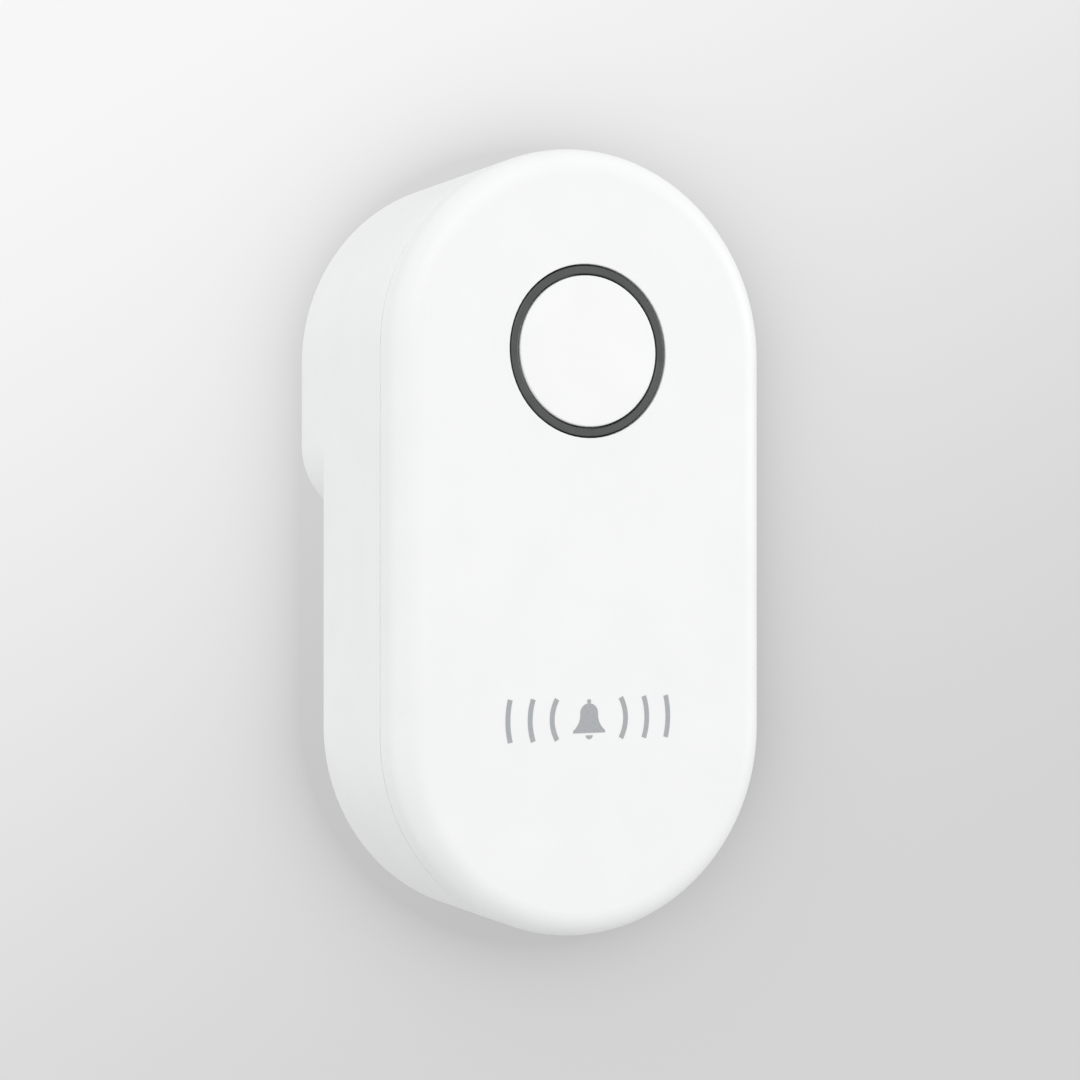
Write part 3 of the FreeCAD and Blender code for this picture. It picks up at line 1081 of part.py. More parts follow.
def speaker_terminal():
    """Fibre tag board against the basket's wall, on its flange."""
    inside = SPEAKER_LIP + SPEAKER_SHEET
    y_top = Y_FLANGE_INSIDE - SPEAKER_TAG
    band = tube(SPEAKER_RADIUS, inside, y_top, Y_FLANGE_INSIDE, 0, LOWER_Z)
    low, high = SPEAKER_TAG_SPAN
    return band.common(block(low, high, y_top, Y_FLANGE_INSIDE, LOWER_Z, LOWER_Z + SPEAKER_RADIUS))


def speaker_screws():
    return Part.makeCompound([screw(SPEAKER_SCREW, x, z, Y_FLANGE_INSIDE, 1)
                              for x, z in speaker_screw_places()])


def speaker_connector():
    """Two-way wire connector on the back of the main board."""
    width, depth, height = SPEAKER_PLUG_SIZE
    x, z = SPEAKER_PLUG_X, SPEAKER_PLUG_Z
    y_top = Y_BOARD_BACK + depth
    body = block(x - width / 2, x + width / 2, Y_BOARD_BACK, y_top, z - height / 2, z + height / 2)
    return body.makeChamfer(CHIP_CHAMFER * 2, edges_at_y(body, y_top))


def speaker_leads():
    """Two wires from the loudspeaker's tags up to their connector."""
    tag_circle = (SPEAKER_LIP + SPEAKER_SHEET + SPEAKER_RADIUS) / 2
    y_tag = Y_FLANGE_INSIDE - SPEAKER_TAG
    y_end = Y_BOARD_BACK + SPEAKER_PLUG_SIZE[1]
    low, high = SPEAKER_TAG_SPAN
    wires = []
    for side in (-1, 1):
        x = (low + high) / 2 + side * (high - low) * 0.21
        z = LOWER_Z + math.sqrt(tag_circle ** 2 - x ** 2)
        across = SPEAKER_PLUG_X + side * SPEAKER_PLUG_PITCH / 2
        wires.append(lead([(x, y_tag, z), (x, y_tag - 3.0, z), (x - 3.0, y_tag - 5.2, z + LEAD_RADIUS),
                           (across, y_end + 3.4, SPEAKER_PLUG_Z), (across, y_end, SPEAKER_PLUG_Z)],
                          LEAD_RADIUS))
    return Part.makeCompound(wires)


# ---------------------------------------------------------------- export
NODES = {
    "front_cover": front_cover,
    "rear_case": rear_case,
    "rating_label": rating_label,
    "case_screws": case_screws,
    "light_ring": light_ring,
    "light_reflector": light_reflector,
    "ring_leds": ring_leds,
    "button_cap": button_cap,
    "button_spring": button_spring,
    "button_switch": button_switch,
    "button_plunger": button_plunger,
    "volume_key": lambda: side_key(KEY_PLACES["volume"]),
    "volume_plunger": lambda: key_plunger(KEY_PLACES["volume"]),
    "melody_key": lambda: side_key(KEY_PLACES["melody"]),
    "melody_plunger": lambda: key_plunger(KEY_PLACES["melody"]),
    "key_switches": key_switches,
    "main_board": main_board,
    "board_screws": board_screws,
    "radio_board": radio_board,
    "radio_shield": radio_shield,
    "processor_chip": processor_chip,
    "audio_chips": audio_chips,
    "antenna": antenna,
    "antenna_coax": antenna_coax,
    "plug_blades": plug_blades,
    "plug_insert": plug_insert,
    "insert_screws": insert_screws,
    "power_board": power_board,
    "power_board_screws": power_board_screws,
    "transformer_core": transformer_core,
    "transformer_bobbin": transformer_bobbin,
    "transformer_winding": transformer_winding,
    "bulk_capacitors": bulk_capacitors,
    "output_capacitor": output_capacitor,
    "power_inductor": power_inductor,
    "fuse_resistor": fuse_resistor,
    "bridge_rectifier": bridge_rectifier,
    "safety_capacitor": safety_capacitor,
    "power_chips": power_chips,
    "power_leads": power_leads,
    "insulation_sheet": insulation_sheet,
    "speaker_mesh": speaker_mesh,
    "speaker_gasket": speaker_gasket,
    "speaker_frame": speaker_frame,
    "speaker_yoke": speaker_yoke,
    "speaker_magnet": speaker_magnet,
    "speaker_plate": speaker_plate,
    "voice_coil": voice_coil,
    "speaker_cone": speaker_cone,
    "speaker_surround": speaker_surround,
    "speaker_terminal": speaker_terminal,
    "speaker_screws": speaker_screws,
    "speaker_connector": speaker_connector,
    "speaker_leads": speaker_leads,
}


def main():
    os.makedirs("parts", exist_ok=True)
    for name, make in NODES.items():
        shape = make()
        if not shape.isValid() or not shape.Solids:
            raise ValueError(f"{name} is not a valid solid")
        shape.exportStep(f"parts/{name}.step")
        print(f"{name}: {len(shape.Solids)} solid(s), {shape.Volume / 1000:.3f} cm3")


main()
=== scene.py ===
import json
import math

import bmesh
import bpy
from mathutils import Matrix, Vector


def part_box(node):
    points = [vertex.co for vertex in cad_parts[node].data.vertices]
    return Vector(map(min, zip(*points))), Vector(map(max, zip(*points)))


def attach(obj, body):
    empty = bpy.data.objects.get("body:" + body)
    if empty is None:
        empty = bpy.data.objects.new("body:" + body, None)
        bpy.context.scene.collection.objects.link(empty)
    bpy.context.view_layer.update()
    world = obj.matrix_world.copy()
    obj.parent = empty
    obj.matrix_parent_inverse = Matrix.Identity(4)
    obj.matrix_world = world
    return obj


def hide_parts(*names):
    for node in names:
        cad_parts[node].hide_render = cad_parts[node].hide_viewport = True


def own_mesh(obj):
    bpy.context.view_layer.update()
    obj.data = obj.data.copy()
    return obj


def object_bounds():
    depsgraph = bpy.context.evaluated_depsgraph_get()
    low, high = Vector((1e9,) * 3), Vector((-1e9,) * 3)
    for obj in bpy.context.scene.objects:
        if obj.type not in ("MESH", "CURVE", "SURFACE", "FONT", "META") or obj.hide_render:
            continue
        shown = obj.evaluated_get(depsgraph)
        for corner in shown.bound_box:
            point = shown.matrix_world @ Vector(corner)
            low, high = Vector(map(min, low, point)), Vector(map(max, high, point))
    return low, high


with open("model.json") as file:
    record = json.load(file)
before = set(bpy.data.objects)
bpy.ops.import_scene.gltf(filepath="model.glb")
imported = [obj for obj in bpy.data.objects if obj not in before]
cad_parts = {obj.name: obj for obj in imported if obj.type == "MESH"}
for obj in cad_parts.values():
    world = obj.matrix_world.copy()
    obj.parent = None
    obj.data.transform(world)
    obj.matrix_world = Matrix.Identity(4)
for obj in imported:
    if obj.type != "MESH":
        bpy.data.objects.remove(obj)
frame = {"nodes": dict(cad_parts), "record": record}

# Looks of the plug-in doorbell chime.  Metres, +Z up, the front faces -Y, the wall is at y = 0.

MM = 0.001
cad_bounds = [list(corner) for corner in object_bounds()]

# ---------------------------------------------------------------- values
# Camera: level, seen from the front left
CAMERA_AIM = Vector((-4.26, -31.84, -25.8)) * MM
CAMERA_DISTANCE = 325.6 * MM
CAMERA_AZIMUTH = math.radians(-25.42)
CAMERA_ELEVATION = math.radians(-0.14)
CAMERA_LENS = 78.47            # in millimetres, as is the sensor's width
SENSOR_WIDTH = 36.0
CLIP_NEAR = 0.01
CLIP_FAR = 20.0

# Studio: a closed bowl of pale paper that glows, a large soft key lamp and a fill
BOWL_RADIUS = 1.5
BOWL_BEND = 0.3                # radius between floor and wall
BOWL_HEIGHT = 1.6              # floor up to where the ceiling starts
BOWL_DOME = 0.75               # rise of the ceiling
BOWL_STEPS = 12                # along the bend, and along the ceiling's curve
BOWL_SEGMENTS = 96             # round the bowl
POLE_RADIUS = 1e-6             # a ring smaller than this is a single point
FLOOR_DROP = 0.45              # below the object's lowest point
PAPER_WHITE = 0.10
BACKDROP_LIGHT = 0.85          # painted light: glow where the gradient starts, and where it ends
BACKDROP_DARK = 0.575
BACKDROP_SPAN = (-0.58, 0.42)  # from there to there, along its own direction
BACKDROP_LEAN = 0.60           # how far that leans to the right of straight down
CEILING_SPAN = (0.50, 1.00)    # between these heights above the object the glow falls to the share below
CEILING_GLOW = 0.80
PAINTED_SHADE_PLACE = (-0.0035, 0.0)   # painted shade behind the object, a stand-in for its shadow: its middle, right and up, on the paper
PAINTED_SHADE_HALF = (0.1785, 0.130)   # its half width, and half the height of its straight part
PAINTED_SHADE_FADE = 0.028             # distance over which it falls to about a third
PAINTED_SHADE_DEPTH = 0.25
LAMP_COLOUR = (1.0, 0.995, 0.99)
KEY_SIZE = 0.9
KEY_PLACE = Vector((-0.45, -0.95, 0.55))
KEY_POWER = 3.85
FILL_SIZE = 0.6
FILL_PLACE = Vector((0.90, -0.50, 0.15))
FILL_POWER = 2.75

# Print on the front: a bell with sound arcs
PRINT_CENTRE_Z = -50.2 * MM
PRINT_THICKNESS = 0.03 * MM
PRINT_GREY = (0.400, 0.415, 0.430)
BELL_HEIGHT = 5.4 * MM
DOME_RADIUS = 0.25             # this and the eight below are shares of the bell's height
DOME_RISE = 0.14               # of the dome's centre above the bell's middle
SKIRT_HEIGHT = 0.44
SKIRT_FLARE = 0.20             # how far the skirt widens
LIP_HEIGHT = 0.06
CLAPPER_RADIUS = 0.10
CLAPPER_DROP = 0.42
KNOB_RADIUS = 0.055
KNOB_RISE = 0.44
SKIRT_POWER = 2.6              # how late the skirt widens
DOME_STEPS = 14                # round the dome and the clapper
SKIRT_STEPS = 12
ROUND_STEPS = 20               # along an arc, and round the knob
ARC_STROKE = 0.72 * MM
ARC_RADII = (5.6 * MM, 8.9 * MM, 12.2 * MM)
ARC_HALF_ANGLE = math.radians(29.9)   # of the innermost; the others are as long

# Button spring
SPRING_TURNS = 4.5
SPRING_WIRE_RADIUS = 0.25 * MM
SPRING_END_PITCH = 0.68        # pitch at its ends, as a share of its mean pitch
SPRING_WIRE_SIDES = 10
SPRING_STEPS = 28              # along each turn

# Procedural textures
NOISE_SPAN = (0.3, 0.7)        # most of a noise's values lie between these
CELL_SPAN = (0.1, 0.9)         # the same for waves and scattered cells
BANDS_IN_A_UNIT = 3.0          # about the waves that the wave texture draws in one unit at scale 1
TRACK_SCALE = 260.0            # a circuit board's tracks and vias in one metre
VIA_SCALE = 340.0
VIA_EDGE = (0.10, 0.13)        # where a via's gold ends, as a share of the space between vias
VIA_GOLD = (0.78, 0.68, 0.42)


# ---------------------------------------------------------------- materials
class Graph:
    """A material's nodes, laid out in the object's own coordinates."""

    def __init__(self, name):
        self.material = bpy.data.materials.new(name)
        self.material.use_nodes = True
        self.tree = self.material.node_tree

    def link(self, out, into):
        self.tree.links.new(out, into)

    def node(self, kind, inputs=None, **settings):
        made = self.tree.nodes.new(kind)
        for name, value in settings.items():
            setattr(made, name, value)
        for name, value in (inputs or {}).items():
            made.inputs[name].default_value = value
        return made

    def object_place(self):
        return self.node("ShaderNodeTexCoord").outputs["Object"]

    def ramp(self, value, low, high, span=NOISE_SPAN, easing="LINEAR"):
        """The value remapped so that the span gives low to high."""
        limits = {"From Min": span[0], "From Max": span[1], "To Min": low, "To Max": high}
        ramp = self.node("ShaderNodeMapRange", limits, interpolation_type=easing)
        self.link(value, ramp.inputs["Value"])
        return ramp.outputs["Result"]


class Surface(Graph):
    """A Principled material with procedural detail."""

    def __init__(self, name, colour, roughness, metallic=0.0):
        super().__init__(name)
        self.own_colour = colour
        self.shader = self.tree.nodes["Principled BSDF"]
        self.shader.inputs["Base Color"].default_value = (*colour, 1.0)
        self.shader.inputs["Roughness"].default_value = roughness
        self.shader.inputs["Metallic"].default_value = metallic
        self.place = self.object_place()
        self.height = None

    def mapped(self, **settings):
        """The object's coordinates, scaled along each axis or turned."""
        inputs = {name.capitalize(): value for name, value in settings.items()}
        mapping = self.node("ShaderNodeMapping", inputs)
        self.link(self.place, mapping.inputs["Vector"])
        return mapping.outputs["Vector"]

    def noise(self, size, detail, place=None):
        """Noise whose features are about size metres across."""
        noise = self.node("ShaderNodeTexNoise", {"Scale": 1.0 / size, "Detail": detail})
        self.link(place or self.place, noise.inputs["Vector"])
        return noise.outputs["Fac"]

    def cells(self, scale):
        """Distance from the nearest of many scattered points."""
        cells = self.node("ShaderNodeTexVoronoi", {"Scale": scale}, feature="F1")
        self.link(self.place, cells.inputs["Vector"])
        return cells.outputs["Distance"]

    def bands(self, pitch, direction, distortion):
        """Waves one after another in a direction, about pitch metres apart."""
        inputs = {"Scale": 1.0 / pitch / BANDS_IN_A_UNIT, "Distortion": distortion}
        wave = self.node("ShaderNodeTexWave", inputs, wave_type="BANDS", bands_direction=direction)
        self.link(self.place, wave.inputs["Vector"])
        return wave.outputs["Fac"]

    def toned(self, amount):
        """The material's own colour, darker or paler."""
        return tuple(min(1.0, part * amount) for part in self.own_colour)

    def mix(self, factor, colour_a, colour_b):
        """A colour between two, which are each a colour or another node's output."""
        mix = self.node("ShaderNodeMix", data_type="RGBA")
        self.link(factor, mix.inputs["Factor"])
        for socket, colour in ((mix.inputs[6], colour_a), (mix.inputs[7], colour_b)):
            if isinstance(colour, tuple):
                socket.default_value = (*colour, 1.0)
            else:
                self.link(colour, socket)
        return mix.outputs[2]

    def colour(self, out):
        self.link(out, self.shader.inputs["Base Color"])

    def mottle(self, pattern, dark, pale, span=NOISE_SPAN):
        """Base colour that follows a pattern from a darker to a paler tone."""
        self.colour(self.mix(self.ramp(pattern, 0, 1, span), self.toned(dark), self.toned(pale)))

    def gloss(self, pattern, low, high):
        """Roughness that follows a pattern."""
        self.link(self.ramp(pattern, low, min(1.0, high)), self.shader.inputs["Roughness"])

    def bump(self, pattern, depth, strength):
        """Adds a layer of bump, depth metres deep, on top of those already there."""
        bump = self.node("ShaderNodeBump", {"Strength": strength, "Distance": depth})
        self.link(pattern, bump.inputs["Height"])
        if self.height:
            self.link(self.height, bump.inputs["Normal"])
        self.height = bump.outputs["Normal"]
        self.link(self.height, self.shader.inputs["Normal"])


def moulded_plastic(name, colour, roughness, grain=0.16 * MM, depth=0.004 * MM):
    """Moulded plastic: fine spark-eroded grain, faint flow mottling and uneven gloss."""
    skin = Surface(name, colour, roughness)
    skin.mottle(skin.noise(9 * MM, detail=4), dark=0.985, pale=1.006)
    skin.gloss(skin.noise(5 * MM, detail=5), low=roughness - 0.05, high=roughness + 0.05)
    skin.bump(skin.noise(6 * MM, detail=2), depth=0.006 * MM, strength=0.35)
    skin.bump(skin.noise(grain, detail=3), depth=depth, strength=0.5)
    return skin.material


def gloss_plastic(name, colour, roughness):
    """Smooth plastic or lacquer: faint orange peel, dust-fine scratches in the gloss."""
    skin = Surface(name, colour, roughness)
    skin.mottle(skin.noise(4 * MM, detail=4), dark=0.93, pale=1.05)
    skin.gloss(skin.noise(0.9 * MM, detail=6), low=roughness - 0.05, high=roughness + 0.09)
    skin.bump(skin.noise(1.3 * MM, detail=2), depth=0.006 * MM, strength=0.4)
    skin.bump(skin.noise(0.12 * MM, detail=3), depth=0.002 * MM, strength=0.4)
    return skin.material


def drawn_metal(name, colour, roughness, stretch, grain=0.25 * MM):
    """Metal with fine draw lines along one axis and slight staining."""
    skin = Surface(name, colour, roughness, metallic=1.0)
    lines = skin.noise(grain, detail=4, place=skin.mapped(scale=stretch))
    skin.mottle(skin.noise(3 * MM, detail=5), dark=0.86, pale=1.04)
    skin.gloss(lines, low=roughness - 0.09, high=roughness + 0.14)
    skin.bump(lines, depth=0.004 * MM, strength=0.5)
    skin.bump(skin.noise(1.5 * MM, detail=3), depth=0.004 * MM, strength=0.3)
    return skin.material


def circuit_board(name, colour):
    """Solder mask over copper: the tracks show as paler, raised cells with dark gaps, and plated vias."""
    skin = Surface(name, colour, 0.28)
    looks = {"Scale": TRACK_SCALE, "Mortar Size": 0.045, "Mortar Smooth": 0.2,
             "Color1": (0.9, 0.9, 0.9, 1), "Color2": (0.55, 0.55, 0.55, 1), "Mortar": (0.0, 0.0, 0.0, 1)}
    tracks = skin.node("ShaderNodeTexBrick", looks)
    skin.link(skin.mapped(rotation=(math.radians(90), 0, 0)), tracks.inputs["Vector"])
    mask = skin.mix(tracks.outputs["Color"], skin.toned(0.55), skin.toned(1.5))
    skin.colour(skin.mix(skin.ramp(skin.cells(VIA_SCALE), 1, 0, VIA_EDGE), mask, VIA_GOLD))
    skin.gloss(skin.noise(1.2 * MM, detail=4), low=0.2, high=0.36)
    skin.bump(tracks.outputs["Fac"], depth=-0.02 * MM, strength=0.6)
    skin.bump(skin.noise(0.3 * MM, detail=3), depth=0.004 * MM, strength=0.4)
    return skin.material


def woven_cloth(name, colour, pitch):
    """Fine square weave."""
    skin = Surface(name, colour, 0.85)
    cross = skin.node("ShaderNodeMath", operation="MULTIPLY")
    for socket, axis in zip(cross.inputs, ("X", "Z")):
        skin.link(skin.bands(pitch, axis, distortion=0.4), socket)
    weave = cross.outputs["Value"]
    skin.mottle(weave, dark=0.4, pale=1.8, span=CELL_SPAN)
    skin.bump(weave, depth=0.06 * MM, strength=0.8)
    return skin.material


def fibrous(name, colour):
    """Pressed paper or board: short fibres, specks and a dry surface."""
    skin = Surface(name, colour, 0.9)
    fibres = skin.noise(0.12 * MM, detail=6, place=skin.mapped(scale=(1, 1, 3.5)))
    skin.mottle(fibres, dark=0.72, pale=1.25)
    skin.gloss(skin.noise(0.8 * MM, detail=4), low=0.78, high=0.96)
    skin.bump(fibres, depth=0.03 * MM, strength=0.7)
    return skin.material


def granular(name, colour, roughness, grain, depth=0.02 * MM):
    """Sintered, cast or foamed surface with visible grains and pits."""
    skin = Surface(name, colour, roughness)
    grains = skin.cells(1.0 / grain)
    skin.mottle(grains, dark=0.75, pale=1.3, span=CELL_SPAN)
    skin.gloss(skin.noise(0.7 * MM, detail=5), low=roughness - 0.1, high=roughness + 0.12)
    skin.bump(grains, depth=depth, strength=0.7)
    return skin.material


def wound_wire(name, colour, pitch, metallic=1.0, roughness=0.3):
    """Turns of wire or tape lying side by side."""
    skin = Surface(name, colour, roughness, metallic)
    turns = skin.bands(pitch, "Y", distortion=0.3)
    skin.mottle(turns, dark=0.55, pale=1.1, span=CELL_SPAN)
    skin.gloss(skin.noise(0.6 * MM, detail=4), low=roughness - 0.06, high=roughness + 0.12)
    skin.bump(turns, depth=0.05 * MM, strength=0.8)
    return skin.material


def smoked_guide(name, colour):
    """Smoked light guide: tinted, a little cloudy, with a soft skin."""
    skin = Surface(name, colour, 0.38)
    skin.shader.inputs["Coat Weight"].default_value = 0.25
    skin.shader.inputs["Coat Roughness"].default_value = 0.25
    skin.mottle(skin.noise(2.5 * MM, detail=4), dark=0.88, pale=1.1)
    skin.gloss(skin.noise(0.8 * MM, detail=5), low=0.33, high=0.44)
    skin.bump(skin.noise(0.12 * MM, detail=3), depth=0.003 * MM, strength=0.5)
    return skin.material


def printed_ink(name, colour):
    """Pad-printed ink: slightly uneven cover, drier than the plastic under it."""
    skin = Surface(name, colour, 0.55)
    skin.mottle(skin.noise(0.5 * MM, detail=6), dark=0.95, pale=1.05)
    skin.gloss(skin.noise(0.3 * MM, detail=4), low=0.48, high=0.62)
    skin.bump(skin.noise(0.09 * MM, detail=4), depth=0.004 * MM, strength=0.5)
    return skin.material


# Every slot of the record: the kind of surface, its colour, then whatever else that kind takes
FINISHES = {
    "shell_white": (moulded_plastic, (0.895, 0.905, 0.902), 0.46),
    "button_white": (moulded_plastic, (0.910, 0.918, 0.915), 0.42),
    "key_white": (moulded_plastic, (0.86, 0.87, 0.87), 0.40),
    "ring_smoke": (smoked_guide, (0.066, 0.071, 0.069)),
    "reflector_white": (moulded_plastic, (0.86, 0.86, 0.84), 0.55),
    "led_white": (gloss_plastic, (0.84, 0.80, 0.58), 0.25),
    "screw_steel": (drawn_metal, (0.42, 0.43, 0.45), 0.34, (1, 8, 1)),
    "spring_steel": (drawn_metal, (0.60, 0.61, 0.63), 0.24, (1, 6, 1)),
    "switch_black": (moulded_plastic, (0.035, 0.035, 0.04), 0.5),
    "plunger_grey": (moulded_plastic, (0.25, 0.26, 0.28), 0.45),
    "circuit_board": (circuit_board, (0.02, 0.14, 0.07)),
    "chip_black": (granular, (0.030, 0.030, 0.033), 0.6, 0.06 * MM, 0.006 * MM),
    "shield_tin": (drawn_metal, (0.70, 0.70, 0.68), 0.32, (9, 1, 1)),
    "antenna_film": (gloss_plastic, (0.06, 0.05, 0.04), 0.3),
    "coax_black": (gloss_plastic, (0.025, 0.025, 0.025), 0.4),
    "blade_nickel": (drawn_metal, (0.72, 0.70, 0.65), 0.24, (1, 0.08, 1), 0.12 * MM),
    "insert_white": (moulded_plastic, (0.83, 0.84, 0.84), 0.55, 0.22 * MM, 0.008 * MM),
    "ferrite_grey": (granular, (0.07, 0.07, 0.075), 0.65, 0.09 * MM),
    "bobbin_black": (moulded_plastic, (0.04, 0.04, 0.04), 0.5),
    "winding_tape": (wound_wire, (0.78, 0.56, 0.05), 0.6 * MM, 0.0, 0.28),
    "sleeve_dark": (gloss_plastic, (0.02, 0.035, 0.10), 0.22),
    "resistor_grey": (granular, (0.26, 0.36, 0.38), 0.5, 0.15 * MM, 0.01 * MM),
    "disc_blue": (gloss_plastic, (0.04, 0.18, 0.50), 0.2),
    "lead_red": (gloss_plastic, (0.50, 0.03, 0.03), 0.36),
    "sheet_fibre": (fibrous, (0.25, 0.27, 0.29)),
    "label_film": (gloss_plastic, (0.66, 0.67, 0.67), 0.5),
    "mesh_black": (woven_cloth, (0.03, 0.03, 0.03), 0.28 * MM),
    "gasket_foam": (granular, (0.05, 0.05, 0.05), 0.9, 0.3 * MM, 0.08 * MM),
    "basket_black": (moulded_plastic, (0.035, 0.035, 0.035), 0.4),
    "yoke_steel": (drawn_metal, (0.58, 0.59, 0.60), 0.32, (1, 8, 1)),
    "magnet_dark": (granular, (0.09, 0.09, 0.10), 0.6, 0.08 * MM),
    "coil_copper": (wound_wire, (0.72, 0.33, 0.14), 0.12 * MM),
    "cone_paper": (fibrous, (0.05, 0.05, 0.05)),
    "surround_rubber": (moulded_plastic, (0.03, 0.03, 0.03), 0.62),
    "tag_fibre": (fibrous, (0.33, 0.19, 0.09)),
    "connector_white": (moulded_plastic, (0.84, 0.82, 0.74), 0.45),
}


def finishes():
    """The material of every slot."""
    return {slot: make(slot.replace("_", " "), *look) for slot, (make, *look) in FINISHES.items()}


def dress_nodes(materials):
    """Gives every node the material of its slot."""
    slots = {part["node"]: part["material_slot"] for part in frame["record"]["subparts"]}
    for name, node in frame["nodes"].items():
        node.data.materials.clear()
        node.data.materials.append(materials[slots[name]])


# ---------------------------------------------------------------- print on the front
def add_piece(name, build, material):
    """The bmesh as an object with that name and material."""
    mesh = bpy.data.meshes.new(name)
    build.to_mesh(mesh)
    build.free()
    mesh.materials.append(material)
    piece = bpy.data.objects.new(name, mesh)
    bpy.context.scene.collection.objects.link(piece)
    return piece


def arc_points(centre, radius, start, end, steps):
    return [(centre[0] + radius * math.cos(start + (end - start) * n / steps),
             centre[1] + radius * math.sin(start + (end - start) * n / steps)) for n in range(steps + 1)]


def bell_outline():
    """The right half of the bell from its crown to its lip, as (x, z) about the bell's middle."""
    radius = DOME_RADIUS * BELL_HEIGHT
    z_dome = DOME_RISE * BELL_HEIGHT
    outline = arc_points((0, z_dome), radius, math.radians(90), 0, DOME_STEPS)
    for n in range(1, SKIRT_STEPS + 1):
        down = n / SKIRT_STEPS
        outline.append((radius + SKIRT_FLARE * BELL_HEIGHT * down ** SKIRT_POWER,
                        z_dome - SKIRT_HEIGHT * BELL_HEIGHT * down))
    x_lip, z_lip = outline[-1]
    return outline + [(x_lip, z_lip - LIP_HEIGHT * BELL_HEIGHT)]


def mark_outlines():
    """The closed outlines of the bell, its clapper and knob, and the sound arcs on both sides."""
    half = bell_outline()
    bell = half[::-1] + [(-x, z) for x, z in half[1:]]
    clapper = arc_points((0, -CLAPPER_DROP * BELL_HEIGHT), CLAPPER_RADIUS * BELL_HEIGHT,
                         math.radians(180), math.radians(360), DOME_STEPS)
    knob = arc_points((0, KNOB_RISE * BELL_HEIGHT), KNOB_RADIUS * BELL_HEIGHT,
                      0, math.radians(360), ROUND_STEPS)
    outlines = [bell, clapper, knob[:-1]]
    for side in (0, math.pi):
        for radius in ARC_RADII:
            spread = ARC_HALF_ANGLE * ARC_RADII[0] / radius
            start, end = side - spread, side + spread
            outer = arc_points((0, 0), radius + ARC_STROKE / 2, start, end, ROUND_STEPS)
            inner = arc_points((0, 0), radius - ARC_STROKE / 2, end, start, ROUND_STEPS)
            outlines.append(outer + inner)
    return outlines


def printed_mark(y_face, material):
    """A bell between sound arcs, as one thin layer of ink that stands on the front face."""
    build = bmesh.new()
    for points in mark_outlines():
        back = [build.verts.new((x, y_face, PRINT_CENTRE_Z + z)) for x, z in points]
        front = [build.verts.new((x, y_face - PRINT_THICKNESS, PRINT_CENTRE_Z + z)) for x, z in points]
        build.faces.new(front)
        build.faces.new(back[::-1])
        for n in range(len(points)):
            after = (n + 1) % len(points)
            build.faces.new((back[n], back[after], front[after], front[n]))
    bmesh.ops.recalc_face_normals(build, faces=build.faces)
    piece = add_piece("bell_print", build, material)
    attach(piece, "housing")


# ---------------------------------------------------------------- button spring
def coil_spring(material):
    """A coil in place of the plain rings."""
    low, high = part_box("button_spring")
    wire = SPRING_WIRE_RADIUS
    radius = (high.x - low.x) / 2 - wire
    rise = high.y - low.y - 2 * wire
    count = int(SPRING_TURNS * SPRING_STEPS)
    build = bmesh.new()
    rings = []
    for n in range(count + 1):
        turned = 2 * math.pi * n / count
        along = turned - (1 - SPRING_END_PITCH) * math.sin(turned)
        outward = Vector((math.cos(SPRING_TURNS * turned), 0, math.sin(SPRING_TURNS * turned)))
        centre = radius * outward + Vector((0, low.y + wire + rise * along / (2 * math.pi), 0))
        rings.append([build.verts.new(centre + wire * (outward * math.cos(angle)
                                                       + Vector((0, math.sin(angle), 0))))
                      for angle in (2 * math.pi * side / SPRING_WIRE_SIDES
                                    for side in range(SPRING_WIRE_SIDES))])
    for near, far in zip(rings, rings[1:]):
        for side in range(SPRING_WIRE_SIDES):
            after = (side + 1) % SPRING_WIRE_SIDES
            build.faces.new((near[side], far[side], far[after], near[after]))
    build.faces.new(rings[0])
    build.faces.new(rings[-1][::-1])
    bmesh.ops.recalc_face_normals(build, faces=build.faces)
    for face in build.faces:
        face.smooth = len(face.verts) == 4
    piece = add_piece("spring_coil", build, material)
    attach(piece, "housing")
    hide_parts("button_spring")
    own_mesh(piece)


# ---------------------------------------------------------------- studio
class Paper(Graph):
    """The backdrop's material: pale paper with painted light, a glow by an amount worked out from the
    place on it.
    """

    def __init__(self, name):
        super().__init__(name)
        self.tree.nodes.clear()
        self.place = self.object_place()

    def maths(self, operation, first, second=0.0):
        made = self.node("ShaderNodeMath", operation=operation)
        for socket, value in zip(made.inputs, (first, second)):
            if isinstance(value, float):
                socket.default_value = value
            else:
                self.link(value, socket)
        return made.outputs["Value"]

    def along(self, direction):
        """How far the place lies from the bowl's middle in a direction."""
        dot = self.node("ShaderNodeVectorMath", operation="DOT_PRODUCT")
        dot.inputs[1].default_value = direction
        self.link(self.place, dot.inputs[0])
        return dot.outputs["Value"]

    def finish(self, strength):
        """The glow, and the little light that the paper throws back."""
        glow = self.node("ShaderNodeEmission", {"Color": (1.0, 1.0, 1.0, 1.0)})
        self.link(strength, glow.inputs["Strength"])
        sheet = self.node("ShaderNodeBsdfDiffuse", {"Color": (PAPER_WHITE, PAPER_WHITE, PAPER_WHITE, 1.0)})
        both = self.node("ShaderNodeAddShader")
        self.link(glow.outputs["Emission"], both.inputs[0])
        self.link(sheet.outputs["BSDF"], both.inputs[1])
        self.link(both.outputs["Shader"], self.node("ShaderNodeOutputMaterial").inputs["Surface"])
        return self.material


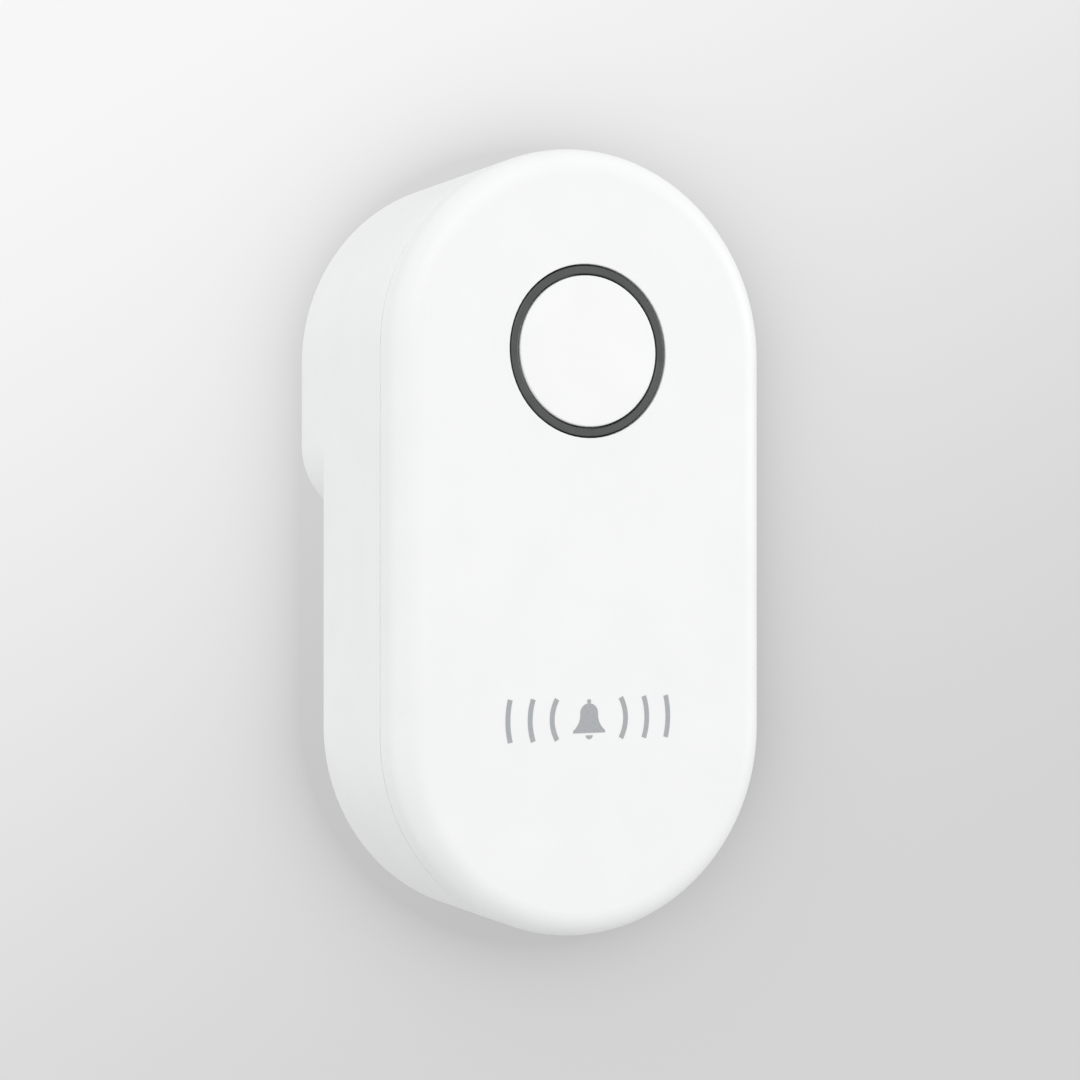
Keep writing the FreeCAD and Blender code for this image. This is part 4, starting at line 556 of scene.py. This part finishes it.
def backdrop_material():
    """Painted light: the glow is lightest at the upper left of the main view and darkest at the lower
    right, with a painted shade, a stand-in for the object's shadow, straight behind it, and a dimmer
    ceiling."""
    paper = Paper("backdrop")
    right = Vector((math.cos(CAMERA_AZIMUTH), math.sin(CAMERA_AZIMUTH), 0))
    up = Vector((0, 0, 1))
    behind = up.cross(right)
    slope = paper.ramp(paper.along((right * BACKDROP_LEAN - up).normalized()),
                       BACKDROP_LIGHT, BACKDROP_DARK, BACKDROP_SPAN, "SMOOTHSTEP")
    ceiling = paper.ramp(paper.along(up), 1.0, CEILING_GLOW, CEILING_SPAN)

    # The painted shade's outline has round ends: everywhere it is as far from an upright line in its
    # middle.
    across = paper.maths("SUBTRACT", paper.along(right), PAINTED_SHADE_PLACE[0])
    height = paper.maths("ABSOLUTE", paper.maths("SUBTRACT", paper.along(up), PAINTED_SHADE_PLACE[1]))
    over = paper.maths("MAXIMUM", paper.maths("SUBTRACT", height, PAINTED_SHADE_HALF[1]), 0.0)
    far = paper.maths("SQRT", paper.maths("ADD", paper.maths("MULTIPLY", across, across),
                                          paper.maths("MULTIPLY", over, over)))
    past = paper.maths("MAXIMUM", paper.maths("SUBTRACT", far, PAINTED_SHADE_HALF[0]), 0.0)
    fall = paper.maths("EXPONENT", paper.maths("MULTIPLY", past, -1.0 / PAINTED_SHADE_FADE))
    # Painted shade: the glow is darkened only on the half of the paper behind the object.
    hidden = paper.maths("GREATER_THAN", paper.along(behind), 0.0)
    depth = paper.maths("MULTIPLY", paper.maths("MULTIPLY", fall, PAINTED_SHADE_DEPTH), hidden)
    shade_left = paper.maths("SUBTRACT", 1.0, depth)
    return paper.finish(paper.maths("MULTIPLY", paper.maths("MULTIPLY", slope, ceiling), shade_left))


def bowl(low, centre):
    """Floor, curved wall and ceiling in one turned sheet."""
    floor = low - FLOOR_DROP - centre.z
    top = floor + BOWL_HEIGHT
    profile = [(0.0, floor), (BOWL_RADIUS - BOWL_BEND, floor)]
    for n in range(1, BOWL_STEPS + 1):
        angle = math.radians(-90 + 90 * n / BOWL_STEPS)
        profile.append((BOWL_RADIUS - BOWL_BEND + BOWL_BEND * math.cos(angle),
                        floor + BOWL_BEND + BOWL_BEND * math.sin(angle)))
    for n in range(1, BOWL_STEPS + 1):
        angle = math.radians(90 * n / BOWL_STEPS)
        profile.append((BOWL_RADIUS * math.cos(angle), top + BOWL_DOME * math.sin(angle)))
    build = bmesh.new()
    rings = []
    for radius, z in profile:
        count = 1 if radius < POLE_RADIUS else BOWL_SEGMENTS
        rings.append([build.verts.new((radius * math.cos(2 * math.pi * n / BOWL_SEGMENTS),
                                       radius * math.sin(2 * math.pi * n / BOWL_SEGMENTS), z))
                      for n in range(count)])
    for inner, outer in zip(rings, rings[1:]):
        for n in range(BOWL_SEGMENTS):
            after = (n + 1) % BOWL_SEGMENTS
            corners = [inner[n % len(inner)], outer[n % len(outer)], outer[after % len(outer)],
                       inner[after % len(inner)]]
            build.faces.new(list(dict.fromkeys(corners)))
    for face in build.faces:
        face.smooth = True
    sheet = add_piece("studio_floor", build, backdrop_material())
    sheet.location = centre


def lamp(name, size, place, aim, power):
    light = bpy.data.lights.new(name, "AREA")
    light.shape = "DISK"
    light.size = size
    light.energy = power
    light.color = LAMP_COLOUR
    holder = bpy.data.objects.new(name, light)
    holder.location = place
    holder.rotation_euler = (aim - place).to_track_quat("-Z", "Y").to_euler()
    bpy.context.scene.collection.objects.link(holder)


def camera():
    away = Vector((math.sin(CAMERA_AZIMUTH) * math.cos(CAMERA_ELEVATION),
                   -math.cos(CAMERA_AZIMUTH) * math.cos(CAMERA_ELEVATION), math.sin(CAMERA_ELEVATION)))
    eye = bpy.data.cameras.new("camera")
    eye.lens = CAMERA_LENS
    eye.sensor_width = SENSOR_WIDTH
    eye.clip_start = CLIP_NEAR
    eye.clip_end = CLIP_FAR
    holder = bpy.data.objects.new("camera", eye)
    holder.location = CAMERA_AIM + away * CAMERA_DISTANCE
    holder.rotation_euler = (-away).to_track_quat("-Z", "Y").to_euler()
    bpy.context.scene.collection.objects.link(holder)
    bpy.context.scene.camera = holder


def main():
    materials = finishes()
    dress_nodes(materials)
    printed_mark(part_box("front_cover")[0].y, printed_ink("print grey", PRINT_GREY))
    coil_spring(materials["spring_steel"])

    low, high = (Vector(corner) for corner in cad_bounds)
    centre = (low + high) / 2
    bowl(low.z, centre)
    lamp("key", KEY_SIZE, KEY_PLACE, centre, KEY_POWER)
    lamp("fill", FILL_SIZE, FILL_PLACE, centre, FILL_POWER)
    camera()
    bpy.context.scene.view_settings.view_transform = "Standard"
    bpy.context.scene.view_settings.look = "None"


main()
